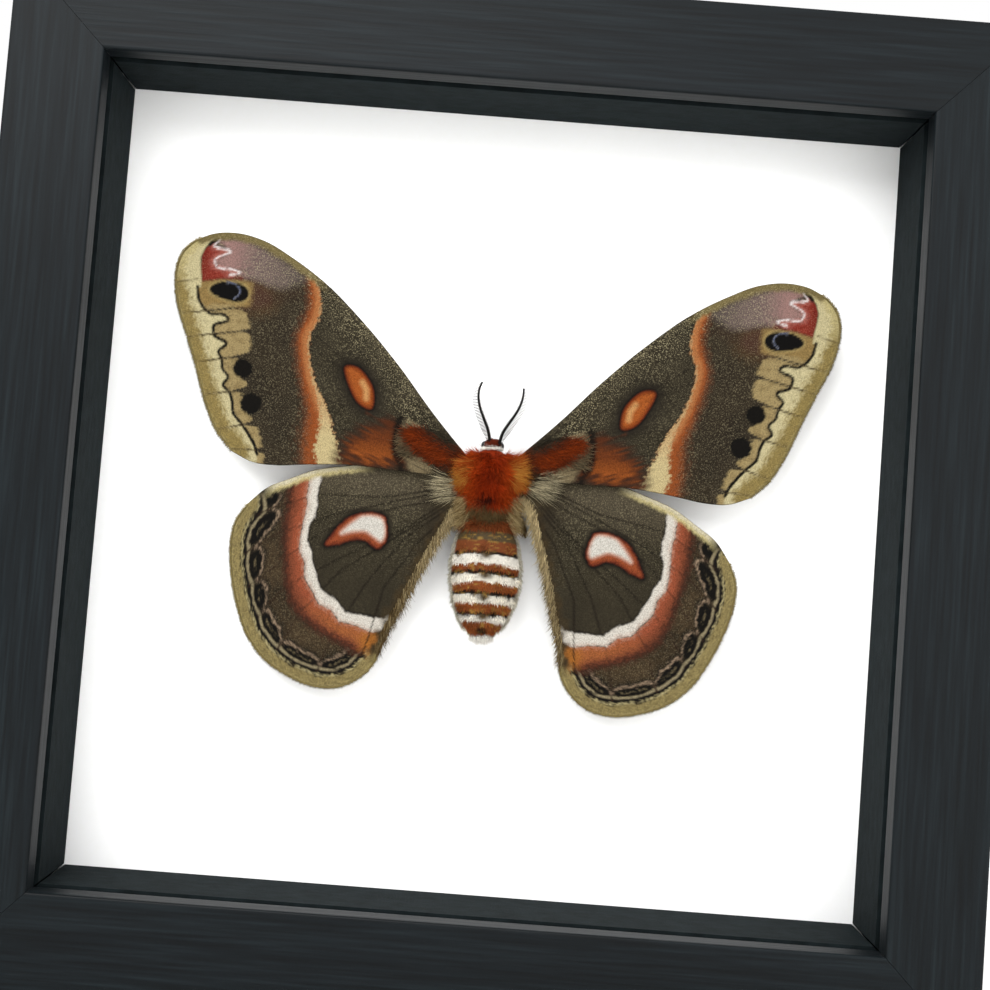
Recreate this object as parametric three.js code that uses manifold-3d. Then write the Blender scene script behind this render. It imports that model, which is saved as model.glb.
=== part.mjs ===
// A cecropia moth, life size, spread and mounted in a square black wooden shadow-box frame.
// Millimetres, +Z up. The frame stands on its bottom rail, and the moth's upper side faces -Y.
import * as THREE from 'three';
import { mergeVertices } from 'three/addons/utils/BufferGeometryUtils.js';
import Module from 'manifold-3d';

const wasm = await Module();
wasm.setup();

// Frame: outer side, side of the opening, depth, and the L-shaped moulding's lip.
const OUTER_SIDE = 203.2;
const SIGHT_SIDE = 165.1;
const FRAME_DEPTH = 32;
const LIP_THICKNESS = 4.5;
const RABBET_WIDTH = 6.35;
const EDGE_BREAK = 0.5;
// Case: the groove behind the lip, the depth to the board, and the sheets at the back.
const GROOVE_WIDTH = 2.1;
const CASE_DEPTH = 17.4;
const BOARD_THICKNESS = 3;
const PANEL_THICKNESS = 3;
const GAP = 0.3;
// Moth: the height of its centre above the frame's foot, the wings' depth and thickness.
const MOTH_HEIGHT = OUTER_SIDE / 2;
const WING_THICKNESS = 0.5;
const VEIN_RISE = 0.25;
const FOREWING_Y = -2.4;
const HINDWING_Y = -1.0;
const WING_DROOP = 1.2;
const WING_REACH = 70;

const frontY = -FRAME_DEPTH / 2;
const backY = FRAME_DEPTH / 2;
const lipBackY = frontY + LIP_THICKNESS;
const boardY = lipBackY + CASE_DEPTH;
const sightHalf = SIGHT_SIDE / 2;
const outerHalf = OUTER_SIDE / 2;
const rabbetHalf = sightHalf + RABBET_WIDTH;

const finish = (color, roughness, metalness = 0) =>
  new THREE.MeshStandardMaterial({ color, roughness, metalness });
const FINISH = {
  blackWood: finish('#22282b', 0.5),
  spacer: finish('#2a2522', 0.6),
  board: finish('#f4f4f2', 0.9),
  panel: finish('#6b4a31', 0.8),
  steel: finish('#b9bcc0', 0.35, 0.9),
  foam: finish('#e8e6e0', 0.9),
  thorax: finish('#9c3a14', 0.95),
  abdomen: finish('#b8683a', 0.95),
  collar: finish('#efe6d2', 0.95),
  head: finish('#7c3019', 0.95),
  eye: finish('#0c0a09', 0.15),
  antenna: finish('#161310', 0.6),
  leg: finish('#6d4a2c', 0.9),
  forewing: finish('#56503f', 0.95),
  hindwing: finish('#4d453b', 0.95),
};

const object = new THREE.Group();

function addMesh(name, geometry, material, parent = object) {
  const mesh = new THREE.Mesh(geometry, material);
  mesh.name = name;
  parent.add(mesh);
  return mesh;
}

// Joins and cuts

function solidOf(geometry) {
  const bare = geometry.clone();
  bare.deleteAttribute('normal');
  bare.deleteAttribute('uv');
  const merged = mergeVertices(bare, 1e-4);
  return new wasm.Manifold(new wasm.Mesh({
    numProp: 3,
    vertProperties: new Float32Array(merged.attributes.position.array),
    triVerts: new Uint32Array(merged.index.array),
  }));
}

function geometryOf(solid) {
  const largest = solid.decompose().reduce((a, b) => (a.volume() >= b.volume() ? a : b));
  const { numProp, vertProperties, triVerts } = largest.getMesh();
  const positions = new Float32Array((vertProperties.length / numProp) * 3);
  for (let i = 0; i < positions.length / 3; i += 1) {
    for (let k = 0; k < 3; k += 1) positions[3 * i + k] = vertProperties[numProp * i + k];
  }
  const geometry = new THREE.BufferGeometry();
  geometry.setAttribute('position', new THREE.BufferAttribute(positions, 3));
  geometry.setIndex([...triVerts]);
  return geometry;
}

function cut(geometry, ...tools) {
  return geometryOf(tools.reduce((solid, tool) => solid.subtract(solidOf(tool)), solidOf(geometry)));
}

// A closed skin over rings of points, each ring a closed loop, capped to the first and last ring's centre.
function skinOver(rings) {
  const around = rings[0].length;
  const points = rings.flat();
  const index = [];
  for (let row = 0; row + 1 < rings.length; row += 1) {
    for (let i = 0; i < around; i += 1) {
      const a = row * around + i;
      const b = row * around + (i + 1) % around;
      index.push(a, b, b + around, a, b + around, a + around);
    }
  }
  [[rings[0], 0, true], [rings.at(-1), (rings.length - 1) * around, false]].forEach(([ring, first, flip]) => {
    const centre = ring.reduce((sum, p) => sum.add(p), new THREE.Vector3()).divideScalar(around);
    points.push(centre);
    for (let i = 0; i < around; i += 1) {
      const a = first + i;
      const b = first + (i + 1) % around;
      index.push(points.length - 1, ...(flip ? [b, a] : [a, b]));
    }
  });
  return outward(points, index);
}

// An indexed geometry whose triangles are turned round if they enclose a negative volume.
function outward(points, index) {
  let volume = 0;
  const normal = new THREE.Vector3();
  for (let i = 0; i < index.length; i += 3) {
    const [a, b, c] = [points[index[i]], points[index[i + 1]], points[index[i + 2]]];
    volume += normal.crossVectors(b, c).dot(a);
  }
  const turned = volume >= 0 ? index : index.map((_, i) => index[i - (i % 3) + [0, 2, 1][i % 3]]);
  const geometry = new THREE.BufferGeometry();
  geometry.setFromPoints(points);
  geometry.setIndex(turned);
  return geometry;
}

// A tapering tube through a list of points; radii are blended along it, and flat < 1 flattens it.
function limb(points, radii, sides, steps, flat = 1) {
  const curve = new THREE.CatmullRomCurve3(points);
  const frames = curve.computeFrenetFrames(steps);
  const rings = [];
  for (let step = 0; step <= steps; step += 1) {
    const t = step / steps;
    const place = t * (radii.length - 1);
    const low = Math.min(Math.floor(place), radii.length - 2);
    const radius = THREE.MathUtils.lerp(radii[low], radii[low + 1], place - low);
    const centre = curve.getPointAt(t);
    rings.push(Array.from({ length: sides }, (_, i) => {
      const angle = (2 * Math.PI * i) / sides;
      return centre.clone()
        .addScaledVector(frames.normals[step], radius * Math.cos(angle))
        .addScaledVector(frames.binormals[step], radius * flat * Math.sin(angle));
    }));
  }
  return skinOver(rings);
}

// Frame mouldings and spacers: one section of (distance from the opening's centre, depth),
// carried along a side and mitred at 45 degrees, half a gap short of each mitre.
function mitred(section, turn) {
  const geometry = new THREE.ExtrudeGeometry(new THREE.Shape(section), { depth: 1, bevelEnabled: false });
  const position = geometry.attributes.position;
  const mitreSetback = GAP / Math.SQRT2;
  const turned = new THREE.Vector3();
  for (let i = 0; i < position.count; i += 1) {
    const out = position.getX(i);
    const along = (2 * position.getZ(i) - 1) * (out - mitreSetback);
    turned.set(along, position.getY(i), -out).applyAxisAngle(new THREE.Vector3(0, 1, 0), turn);
    position.setXYZ(i, turned.x, turned.y, turned.z + MOTH_HEIGHT);
  }
  return mergeVertices(geometry);
}

const mouldingSection = [
  [sightHalf + EDGE_BREAK, frontY], [outerHalf - EDGE_BREAK, frontY], [outerHalf, frontY + EDGE_BREAK],
  [outerHalf, backY], [rabbetHalf, backY], [rabbetHalf, lipBackY], [sightHalf, lipBackY],
  [sightHalf, frontY + EDGE_BREAK],
].map(([out, depth]) => new THREE.Vector2(out, depth));
const spacerSection = [
  [sightHalf, lipBackY + GROOVE_WIDTH], [rabbetHalf - GAP, lipBackY + GROOVE_WIDTH],
  [rabbetHalf - GAP, boardY - GAP], [sightHalf, boardY - GAP],
].map(([out, depth]) => new THREE.Vector2(out, depth));
const SIDES = { bottom: 0, left: Math.PI / 2, top: Math.PI, right: -Math.PI / 2 };

const sheet = (side, height, thickness, x, y, z) =>
  new THREE.BoxGeometry(side, thickness, height).translate(x, y + thickness / 2, z);

// Hanger: a toothed steel strip let into the back of the top rail.
const HANGER_LENGTH = 44;
const HANGER_HEIGHT = 6;
const HANGER_THICKNESS = 0.9;
const HANGER_TEETH = 9;
const POCKET_DEPTH = 1.6;
const hangerZ = MOTH_HEIGHT + (rabbetHalf + outerHalf) / 2;
const pocketMargin = 1.5;
const hangerPocket = sheet(HANGER_LENGTH + 2 * pocketMargin, HANGER_HEIGHT + 2 * pocketMargin,
  2 * POCKET_DEPTH, 0, backY - POCKET_DEPTH, hangerZ);

for (const [side, turn] of Object.entries(SIDES)) {
  const moulding = mitred(mouldingSection, turn);
  const name = side === 'left' || side === 'right' ? `stile_${side}` : `rail_${side}`;
  addMesh(name, side === 'top' ? cut(moulding, hangerPocket) : moulding, FINISH.blackWood);
  addMesh(`spacer_${side}`, mitred(spacerSection, turn), FINISH.spacer);
}

const sheetSide = 2 * (rabbetHalf - GAP);
const panelY = boardY + BOARD_THICKNESS + GAP;
addMesh('mount_board', sheet(sheetSide, sheetSide, BOARD_THICKNESS, 0, boardY, MOTH_HEIGHT), FINISH.board);
addMesh('back_panel', sheet(sheetSide, sheetSide, PANEL_THICKNESS, 0, panelY, MOTH_HEIGHT), FINISH.panel);

// Four flat steel points hold the sheets in, each lying on the panel against the moulding's wall.
const POINT_LENGTH = 12;
const POINT_WIDTH = 6;
const POINT_THICKNESS = 0.7;
for (const [side, turn] of Object.entries(SIDES)) {
  const point = sheet(POINT_WIDTH, POINT_LENGTH, POINT_THICKNESS, 0, panelY + PANEL_THICKNESS + GAP,
    -(rabbetHalf - GAP - POINT_LENGTH / 2));
  addMesh(`point_${side}`, point.rotateY(turn).translate(0, 0, MOTH_HEIGHT), FINISH.steel);
}

function hangerStrip() {
  const shape = new THREE.Shape();
  const half = HANGER_LENGTH / 2;
  const tooth = HANGER_LENGTH / HANGER_TEETH;
  shape.moveTo(half, HANGER_HEIGHT / 2).lineTo(-half, HANGER_HEIGHT / 2).lineTo(-half, -HANGER_HEIGHT / 2);
  for (let i = 0; i < HANGER_TEETH; i += 1) {
    shape.lineTo(-half + (i + 0.5) * tooth, -HANGER_HEIGHT / 2 + 1.4);
    shape.lineTo(-half + (i + 1) * tooth, -HANGER_HEIGHT / 2);
  }
  return new THREE.ExtrudeGeometry(shape, { depth: HANGER_THICKNESS, bevelEnabled: false })
    .rotateX(Math.PI / 2)
    .translate(0, backY - POCKET_DEPTH + GAP + HANGER_THICKNESS, hangerZ);
}
addMesh('hanger', mergeVertices(hangerStrip()), FINISH.steel);

// The moth is drawn round its own centre, with its head towards +Z, and raised into the frame.
const moth = new THREE.Group();
moth.position.z = MOTH_HEIGHT;
object.add(moth);

// Body parts: stations of [height, half width, half depth], with the axis's place across and in depth.
const BODY_SIDES = 18;
const THORAX = [
  [9.0, 3.0, 2.7], [8.3, 4.3, 3.7], [6.6, 5.2, 4.6], [3.6, 5.5, 4.9], [0.4, 5.0, 4.6], [-2.0, 4.3, 4.1],
  [-3.3, 3.7, 3.5],
];
const HEAD = [[10.5, 2.1, 2.2], [11.0, 2.4, 2.4], [11.7, 1.9, 2.0], [12.2, 1.0, 1.1]];
const COLLAR = [[9.3, 2.9, 2.7], [9.75, 3.1, 2.9], [10.2, 2.5, 2.4]];
const ABDOMEN_WIDTH = [
  [-3.6, 3.7], [-5.8, 5.1], [-9.5, 6.6], [-12.6, 7.3], [-16, 7.5], [-19.5, 7.1], [-22.5, 6.3], [-25, 5.2],
  [-27, 3.9], [-28.6, 2.1], [-29.4, 0.7],
];
const ABDOMEN_RINGS = [-3.6, -7.2, -11.2, -15.2, -19.3, -23.4, -27.2, -29.4];
const ABDOMEN_DEPTH_RATIO = 0.76;
const RING_GROOVE = 0.955;
const BODY_Y = -1.4;
const ABDOMEN_Y = -0.9;
const HEAD_Y = -1.6;

// The body's axis drifts a little to one side towards the tail.
const axisX = (height) => THREE.MathUtils.clamp(-height * 0.032, 0, 0.6);

function bodyLoft(stations, axisY, grow = 0) {
  const middle = (stations[0][0] + stations.at(-1)[0]) / 2;
  return skinOver(stations.map(([height, halfWidth, halfDepth], i) => {
    const isEnd = i === 0 || i === stations.length - 1;
    const endShift = isEnd ? grow * Math.sign(height - middle) : 0;
    return Array.from({ length: BODY_SIDES }, (_, k) => {
      const angle = (2 * Math.PI * k) / BODY_SIDES;
      return new THREE.Vector3(axisX(height) + (halfWidth + grow) * Math.cos(angle),
        axisY + (halfDepth + grow) * Math.sin(angle), height + endShift);
    });
  }));
}

const widthCurve = new THREE.SplineCurve(ABDOMEN_WIDTH.map(([height, width]) => new THREE.Vector2(height, width)));
const widthSamples = widthCurve.getPoints(160);
function abdomenWidth(height) {
  const after = widthSamples.findIndex((sample) => sample.x <= height);
  return widthSamples[after === -1 ? widthSamples.length - 1 : after].y;
}

// Each ring of the abdomen swells from a groove at its front edge to a lip at its rear.
function abdomenStations() {
  const stations = [];
  for (let ring = 0; ring + 1 < ABDOMEN_RINGS.length; ring += 1) {
    for (const [share, scale] of [[0, RING_GROOVE], [0.3, 1], [0.85, 1.01]]) {
      const height = THREE.MathUtils.lerp(ABDOMEN_RINGS[ring], ABDOMEN_RINGS[ring + 1], share);
      const halfWidth = abdomenWidth(height) * scale;
      stations.push([height, halfWidth, halfWidth * ABDOMEN_DEPTH_RATIO]);
    }
  }
  return [...stations, [ABDOMEN_RINGS.at(-1), 0.6, 0.5]];
}
const ABDOMEN = abdomenStations();

const grownThorax = bodyLoft(THORAX, BODY_Y, GAP);
const grownAbdomen = bodyLoft(ABDOMEN, ABDOMEN_Y, GAP);
const grownHead = bodyLoft(HEAD, HEAD_Y, GAP);
const grownCollar = bodyLoft(COLLAR, HEAD_Y, GAP);

addMesh('collar', bodyLoft(COLLAR, HEAD_Y), FINISH.collar, moth);

// Eyes: round, on the head's sides, each in its own socket.
const EYE_RADIUS = 0.95;
const EYE_PLACE = new THREE.Vector3(2.0, -1.2, 11.1);
const eyeBall = (side, radius) => new THREE.SphereGeometry(radius, 12, 8)
  .translate(side * EYE_PLACE.x, EYE_PLACE.y, EYE_PLACE.z);
addMesh('head', cut(bodyLoft(HEAD, HEAD_Y), eyeBall(-1, EYE_RADIUS + GAP), eyeBall(1, EYE_RADIUS + GAP)),
  FINISH.head, moth);

const SIDE_SIGN = { left: -1, right: 1 };
for (const [side, sign] of Object.entries(SIDE_SIGN)) {
  addMesh(`eye_${side}`, mergeVertices(eyeBall(sign, EYE_RADIUS).deleteAttribute('normal')
    .deleteAttribute('uv')), FINISH.eye, moth);
}

// Antennae: a tapering shaft out of the head, swept up and outwards, with the tip curled back in.
const ANTENNA_Y = -3.0;
const ANTENNA_ROUTES = {
  left: [[-0.5, 11.2], [-1.2, 14.0], [-2.4, 16.7], [-3.3, 18.9], [-3.7, 21.0], [-3.6, 22.5], [-3.1, 23.9]],
  right: [[1.2, 11.0], [1.9, 13.7], [3.1, 15.9], [4.3, 17.9], [5.1, 19.8], [5.5, 21.7], [5.5, 23.2]],
};
const ANTENNA_RADII = [0.36, 0.34, 0.28, 0.16];
// Side branches of the antenna in two rows: [reach across, reach back, reach up] at full length.
const RAMUS_ROWS = [[1.55, 0.5, 0.45], [0.3, 1.3, 0.45]];
const RAMI_PER_ROW = 11;
const RAMUS_RADII = [0.3, 0.1];
const RAMI_SPAN = [0.14, 0.92];
for (const [side, route] of Object.entries(ANTENNA_ROUTES)) {
  const sign = side === 'left' ? -1 : 1;
  const points = route.map(([x, z]) => new THREE.Vector3(x, ANTENNA_Y, z));
  const curve = new THREE.CatmullRomCurve3(points);
  let antenna = solidOf(limb(points, ANTENNA_RADII, 6, 14));
  for (const [row, [across, back, up]] of RAMUS_ROWS.entries()) {
    for (let i = 0; i < RAMI_PER_ROW; i += 1) {
      const share = (i + 0.5 * row) / RAMI_PER_ROW;
      const root = curve.getPointAt(THREE.MathUtils.lerp(...RAMI_SPAN, share));
      const length = 1 - 0.75 * Math.abs(2 * share - 0.9) ** 3;
      const reach = new THREE.Vector3(sign * across, back, up).multiplyScalar(length);
      const ramus = limb([root, root.clone().add(reach)], RAMUS_RADII, 3, 1);
      antenna = antenna.add(solidOf(ramus));
    }
  }
  const inHead = [grownHead, grownCollar].map(solidOf);
  addMesh(`antenna_${side}`, geometryOf(inHead.reduce((a, b) => a.subtract(b), antenna)),
    FINISH.antenna, moth);
}

// Wings: one forewing and one hindwing outline, drawn for the right side from the costal root
// round to the inner root, and the main veins from root to margin.
const FOREWING = {
  outline: [
    [3.6, 7.2], [5.9, 9.4], [13, 16.7], [21.2, 26], [30, 34.8], [38, 41.6], [45.5, 46.3], [51.7, 49.3],
    [57.5, 50.4], [62.4, 49.8], [66.1, 48], [68.6, 45.2], [69.4, 42.2], [69.2, 38.2], [68.2, 34], [65.6, 27.9],
    [63, 21.6], [60.2, 14.2], [57.3, 8.8], [53.6, 4.9], [49.3, 3.2], [44.3, 3], [38.5, 3.7], [30, 4.5],
    [18, 4.3], [7, 4.2], [3.6, 4.2],
  ],
  tip: [64.8, 48.8],
  heel: [53.6, 4.9],
  veins: [
    [[22, 22.5], [36, 33], [48.5, 39.6], [59, 41.3], [68.9, 39.1]],
    [[21, 19.5], [31.5, 25.5], [42, 32.6], [55.5, 34.8], [67.2, 32.6]],
    [[19, 16.5], [30.5, 23.4], [42, 28.7], [53.5, 30.1], [65.2, 27.9]],
    [[17, 12.5], [28.2, 18.4], [41.6, 23.4], [51.5, 25.4], [62.9, 22.7]],
    [[16, 10.6], [26.3, 15.4], [38, 18], [50, 18.5], [60.3, 16.2]],
    [[16, 8.8], [28, 11.6], [40, 12], [49, 11.4], [57.6, 9.2]],
    [[16, 6.1], [28, 6.9], [38, 6.6], [47, 5.8], [54.6, 5.5]],
  ],
};
const HINDWING = {
  outline: [
    [3.4, 4.2], [8, 5.3], [16, 6], [24, 5.5], [31, 4], [37.5, 2.1], [42.4, -0.5], [46.8, -3.1], [50.3, -7],
    [52.2, -11], [52.5, -15], [51.6, -20.5], [49.1, -28], [45.9, -33.9], [41.7, -38], [36.7, -40.5],
    [30.5, -42], [25.8, -41.4], [21.9, -39], [19.1, -35.2], [18.3, -32], [17.4, -28.3], [15, -21.6],
    [12, -13.2], [9.3, -6.5], [6.8, -1.4], [3.4, 0],
  ],
  tip: [50.3, -7],
  heel: [18.3, -32],
  veins: [
    [[12, 1.9], [22.3, -1.3], [36.4, -2.9], [45, -7], [52.4, -12.5]],
    [[12, 1], [19.2, -1.4], [31.9, -6.4], [42, -11.4], [51.4, -19]],
    [[11, 0], [22, -4], [34.4, -10.6], [42, -18.2], [49, -26]],
    [[10.5, -1], [17, -6.8], [29, -14.8], [39.6, -22.5], [45.8, -31.6]],
    [[10, -1.6], [18, -8.4], [29, -17.6], [36, -27.6], [40, -37.6]],
    [[9.5, -2], [16.4, -8.4], [23, -18.6], [28.6, -31], [31, -40.6]],
    [[8.8, -3], [14, -9.2], [19.6, -19.6], [21.6, -33], [23.5, -38.6]],
  ],
};
const STATIONS = [0, 0.1, 0.22, 0.36, 0.5, 0.64, 0.77, 0.89, 1];
// Between two veins the columns lie at these shares; the first and last share set a vein's width.
const COLUMN_SHARES = [0, 0.12, 0.5, 0.88];
const OUTLINE_SAMPLES = 400;

const flat = ([across, up]) => new THREE.Vector2(across, up);
const nearest = (samples, point) =>
  samples.reduce((best, sample, i) => (sample.distanceTo(point) < samples[best].distanceTo(point) ? i : best), 0);

// The wing's skin: columns fan out from the root along the veins and end on the outline. A vein's own
// column stands proud on the upper side, and both sides are split into triangles alike.
function wingSkin({ outline, tip, heel, veins }, restY, sign, grow = 0) {
  const samples = new THREE.SplineCurve(outline.map(flat)).getSpacedPoints(OUTLINE_SAMPLES);
  const at = (place) => samples[Math.round(place)];
  const rootStart = samples[0];
  const rootEnd = samples.at(-1);
  const ends = [nearest(samples, flat(tip)), ...veins.map((vein) => nearest(samples, flat(vein.at(-1)))),
    nearest(samples, flat(heel))];
  const paths = veins.map((vein, i) => {
    const root = rootStart.clone().lerp(rootEnd, (i + 1) / (veins.length + 1));
    return new THREE.SplineCurve([root, ...vein.map(flat)]);
  });
  const master = (i, t) => {
    if (i === 0) return at(t * ends[0]);
    if (i === paths.length + 1) return at(OUTLINE_SAMPLES - t * (OUTLINE_SAMPLES - ends.at(-1)));
    return paths[i - 1].getPointAt(t);
  };
  const columns = [];
  for (let i = 0; i + 1 < ends.length; i += 1) {
    for (const share of COLUMN_SHARES) columns.push({ i, share, isVein: share === 0 && i > 0 });
  }
  columns.push({ i: ends.length - 2, share: 1, isVein: false });
  const rows = columns.map(({ i, share, isVein }) => STATIONS.map((t) => {
    const point = master(i, t).clone().lerp(master(i + 1, t), share);
    const onMargin = at(THREE.MathUtils.lerp(ends[i], ends[i + 1], share));
    const straight = master(i, 1).clone().lerp(master(i + 1, 1), share);
    point.add(onMargin.clone().sub(straight).multiplyScalar(t ** 3));
    const rise = isVein ? VEIN_RISE * (1 - 0.6 * t) : 0;
    return { point, rise, y: restY + WING_DROOP * (point.x / WING_REACH) ** 2 };
  }));
  const upper = rows.flat().map(({ point, rise, y }) =>
    new THREE.Vector3(sign * point.x, y - WING_THICKNESS / 2 - rise - grow, point.y));
  const lower = rows.flat().map(({ point, y }) =>
    new THREE.Vector3(sign * point.x, y + WING_THICKNESS / 2 + grow, point.y));
  const per = STATIONS.length;
  const index = [];
  for (let c = 0; c + 1 < rows.length; c += 1) {
    for (let s = 0; s + 1 < per; s += 1) {
      const [a, b] = [c * per + s, (c + 1) * per + s];
      index.push(a, b, b + 1, a, b + 1, a + 1);
    }
  }
  const under = upper.length;
  index.push(...index.map((_, i) => under + index[i - (i % 3) + [0, 2, 1][i % 3]]));
  const last = rows.length - 1;
  const rim = [
    ...rows.map((_, c) => c * per),
    ...STATIONS.slice(1).map((_, s) => last * per + s + 1),
    ...rows.slice(1).map((_, c) => (last - 1 - c) * per + per - 1),
    ...STATIONS.slice(1, -1).map((_, s) => per - 2 - s),
  ];
  rim.forEach((a, k) => {
    const b = rim[(k + 1) % rim.length];
    index.push(b, a, under + a, b, under + a, under + b);
  });
  return outward([...upper, ...lower], index);
}

// Each wing is set a little differently: its turn in degrees and its shift across and up.
const WING_SET = {
  forewing_left: { sign: -1, turn: 1.3, shift: [0, -0.45] },
  forewing_right: { sign: 1, turn: 1.3, shift: [0, 0.45] },
  hindwing_left: { sign: -1, turn: 4.5, shift: [1.0, -1.7] },
  hindwing_right: { sign: 1, turn: 4.5, shift: [1.1, 1.6] },
};
function setWing(name, grow = 0) {
  const { sign, turn, shift } = WING_SET[name];
  const isForewing = name.startsWith('forewing');
  return wingSkin(isForewing ? FOREWING : HINDWING, isForewing ? FOREWING_Y : HINDWING_Y, sign, grow)
    .rotateY(THREE.MathUtils.degToRad(turn))
    .translate(shift[0], 0, shift[1]);
}
for (const name of Object.keys(WING_SET)) {
  const material = name.startsWith('forewing') ? FINISH.forewing : FINISH.hindwing;
  addMesh(name, cut(setWing(name), grownThorax, grownAbdomen), material, moth);
}

// Coat: flat tapered locks whose roots are sunk in the core, bent along the lie of the fur.
let seed = 7;
function random() {
  seed = (seed * 16807) % 2147483647;
  return seed / 2147483647;
}
const jitter = (amount) => amount * (2 * random() - 1);

// A lock from a point on the core: it rises a little along the normal and runs on along its lie.
function lock(root, normal, lie, length, width) {
  const LOCK_FLATNESS = 0.36;
  const SUNK = 0.9;
  const along = (share, lift) =>
    root.clone().addScaledVector(lie, share * length).addScaledVector(normal, lift);
  const points = [along(-0.1, -SUNK), along(0.45, 0.45), along(1, 0.3)];
  const curve = new THREE.CatmullRomCurve3(points);
  const radii = [0.8, 1, 0.14];
  const across = new THREE.Vector3().crossVectors(lie, normal).normalize();
  const rings = radii.map((radius, step) => {
    const t = step / (radii.length - 1);
    const centre = curve.getPointAt(t);
    const up = new THREE.Vector3().crossVectors(curve.getTangentAt(t), across).normalize();
    return [0, 1, 2, 3].map((k) => centre.clone()
      .addScaledVector(across, (width / 2) * radius * Math.cos((k * Math.PI) / 2))
      .addScaledVector(up, (width / 2) * radius * LOCK_FLATNESS * 1.4 * Math.sin((k * Math.PI) / 2)));
  });
  return skinOver(rings);
}

// A point on a body part's side at an angle from +X, with its outward normal, and its station's axis.
function onBody(stations, axisY, height, angle) {
  const low = Math.max(stations.findIndex(([station]) => station <= height), 1);
  const share = (height - stations[low - 1][0]) / (stations[low][0] - stations[low - 1][0]);
  const blend = (k) => THREE.MathUtils.lerp(stations[low - 1][k], stations[low][k], share);
  const [halfWidth, halfDepth] = [blend(1), blend(2)];
  const normal = new THREE.Vector3(Math.cos(angle) / halfWidth, Math.sin(angle) / halfDepth, 0).normalize();
  const point = new THREE.Vector3(axisX(height) + halfWidth * Math.cos(angle),
    axisY + halfDepth * Math.sin(angle), height);
  return { point, normal };
}

function coated(stations, axisY, locks, tools) {
  const coat = locks.map(solidOf).reduce((a, b) => a.add(b));
  const trimmed = tools.map(solidOf).reduce((a, b) => a.subtract(b), coat);
  return geometryOf(trimmed.add(solidOf(bodyLoft(stations, axisY))));
}

// Thorax: rows of locks from the collar to the tail, over the upper side and round both flanks.
const COAT_ROWS = [8.0, 5.9, 3.8, 1.7, -0.5];
const LOCKS_PER_ROW = 8;
const UPPER_SIDE = -Math.PI / 2;
const thoraxLocks = [];
for (const height of COAT_ROWS) {
  for (let i = 0; i < LOCKS_PER_ROW; i += 1) {
    const fan = (i / (LOCKS_PER_ROW - 1) - 0.5) * 2;
    const { point, normal } = onBody(THORAX, BODY_Y, height + jitter(0.4), UPPER_SIDE + fan * 1.75 + jitter(0.08));
    const lie = new THREE.Vector3(0.85 * fan, -0.05, -0.8 + jitter(0.1)).projectOnPlane(normal).normalize();
    thoraxLocks.push(lock(point, normal, lie, 3.6 + jitter(0.5), 2.1 + jitter(0.2)));
  }
}
const grownWings = Object.keys(WING_SET).map((name) => setWing(name, GAP));
addMesh('thorax', coated(THORAX, BODY_Y, thoraxLocks, [...grownWings, grownAbdomen, grownCollar]),
  FINISH.thorax, moth);

// Abdomen: a pale tuft of locks at the tail, and a short one at each ring's side.
const TAIL_LOCKS = 6;
const TAIL_HEIGHT = -28.2;
const abdomenLocks = [];
for (let i = 0; i < TAIL_LOCKS; i += 1) {
  const { point, normal } = onBody(ABDOMEN, ABDOMEN_Y, TAIL_HEIGHT, Math.PI + (i / (TAIL_LOCKS - 1)) * Math.PI);
  const lie = new THREE.Vector3(0, 0, -1).addScaledVector(normal, -0.35).normalize();
  abdomenLocks.push(lock(point, normal, lie, 2.4 + jitter(0.2), 1.3));
}
for (const height of ABDOMEN_RINGS.slice(2, -1)) {
  for (const side of [0, Math.PI]) {
    const { point, normal } = onBody(ABDOMEN, ABDOMEN_Y, height + 0.9, side - Math.sign(0.5 - side) * 0.2);
    const lie = new THREE.Vector3(0, -0.1, -1).projectOnPlane(normal).normalize();
    abdomenLocks.push(lock(point, normal, lie, 2.6 + jitter(0.2), 1.2));
  }
}
addMesh('abdomen', coated(ABDOMEN, ABDOMEN_Y, abdomenLocks, [...grownWings, grownThorax]),
  FINISH.abdomen, moth);

// Legs: three pairs, folded against the underside between the body and the board.
const LEG_ROUTES = {
  fore: [[1.6, 3.0, 7.0], [3.8, 4.1, 8.2], [5.6, 4.4, 7.0], [5.4, 4.8, 4.8]],
  middle: [[1.8, 3.0, 3.6], [4.6, 4.1, 3.8], [6.6, 4.4, 1.6], [6.4, 4.8, -1.2]],
  hind: [[1.6, 2.8, -0.6], [4.4, 4.1, -2.4], [7.0, 4.4, -4.0], [8.4, 4.8, -7.4]],
};
const LEG_RADII = [0.8, 0.65, 0.5, 0.3];
for (const [side, sign] of Object.entries(SIDE_SIGN)) {
  for (const [pair, route] of Object.entries(LEG_ROUTES)) {
    const leg = limb(route.map(([x, y, z]) => new THREE.Vector3(sign * x, y, z)), LEG_RADII, 7, 8);
    addMesh(`leg_${pair}_${side}`, cut(leg, grownThorax, grownAbdomen), FINISH.leg, moth);
  }
}

// A small foam block glued to the board carries the thorax.
const BLOCK_WIDTH = 2.8;
const BLOCK_HEIGHT = 6;
const BLOCK_DEPTH = 4;
const block = sheet(BLOCK_WIDTH, BLOCK_HEIGHT, BLOCK_DEPTH, 0, boardY - GAP - BLOCK_DEPTH, 3.6);
addMesh('mount_block', cut(block, grownThorax), FINISH.foam, moth);

export default object;
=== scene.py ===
import math

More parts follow.
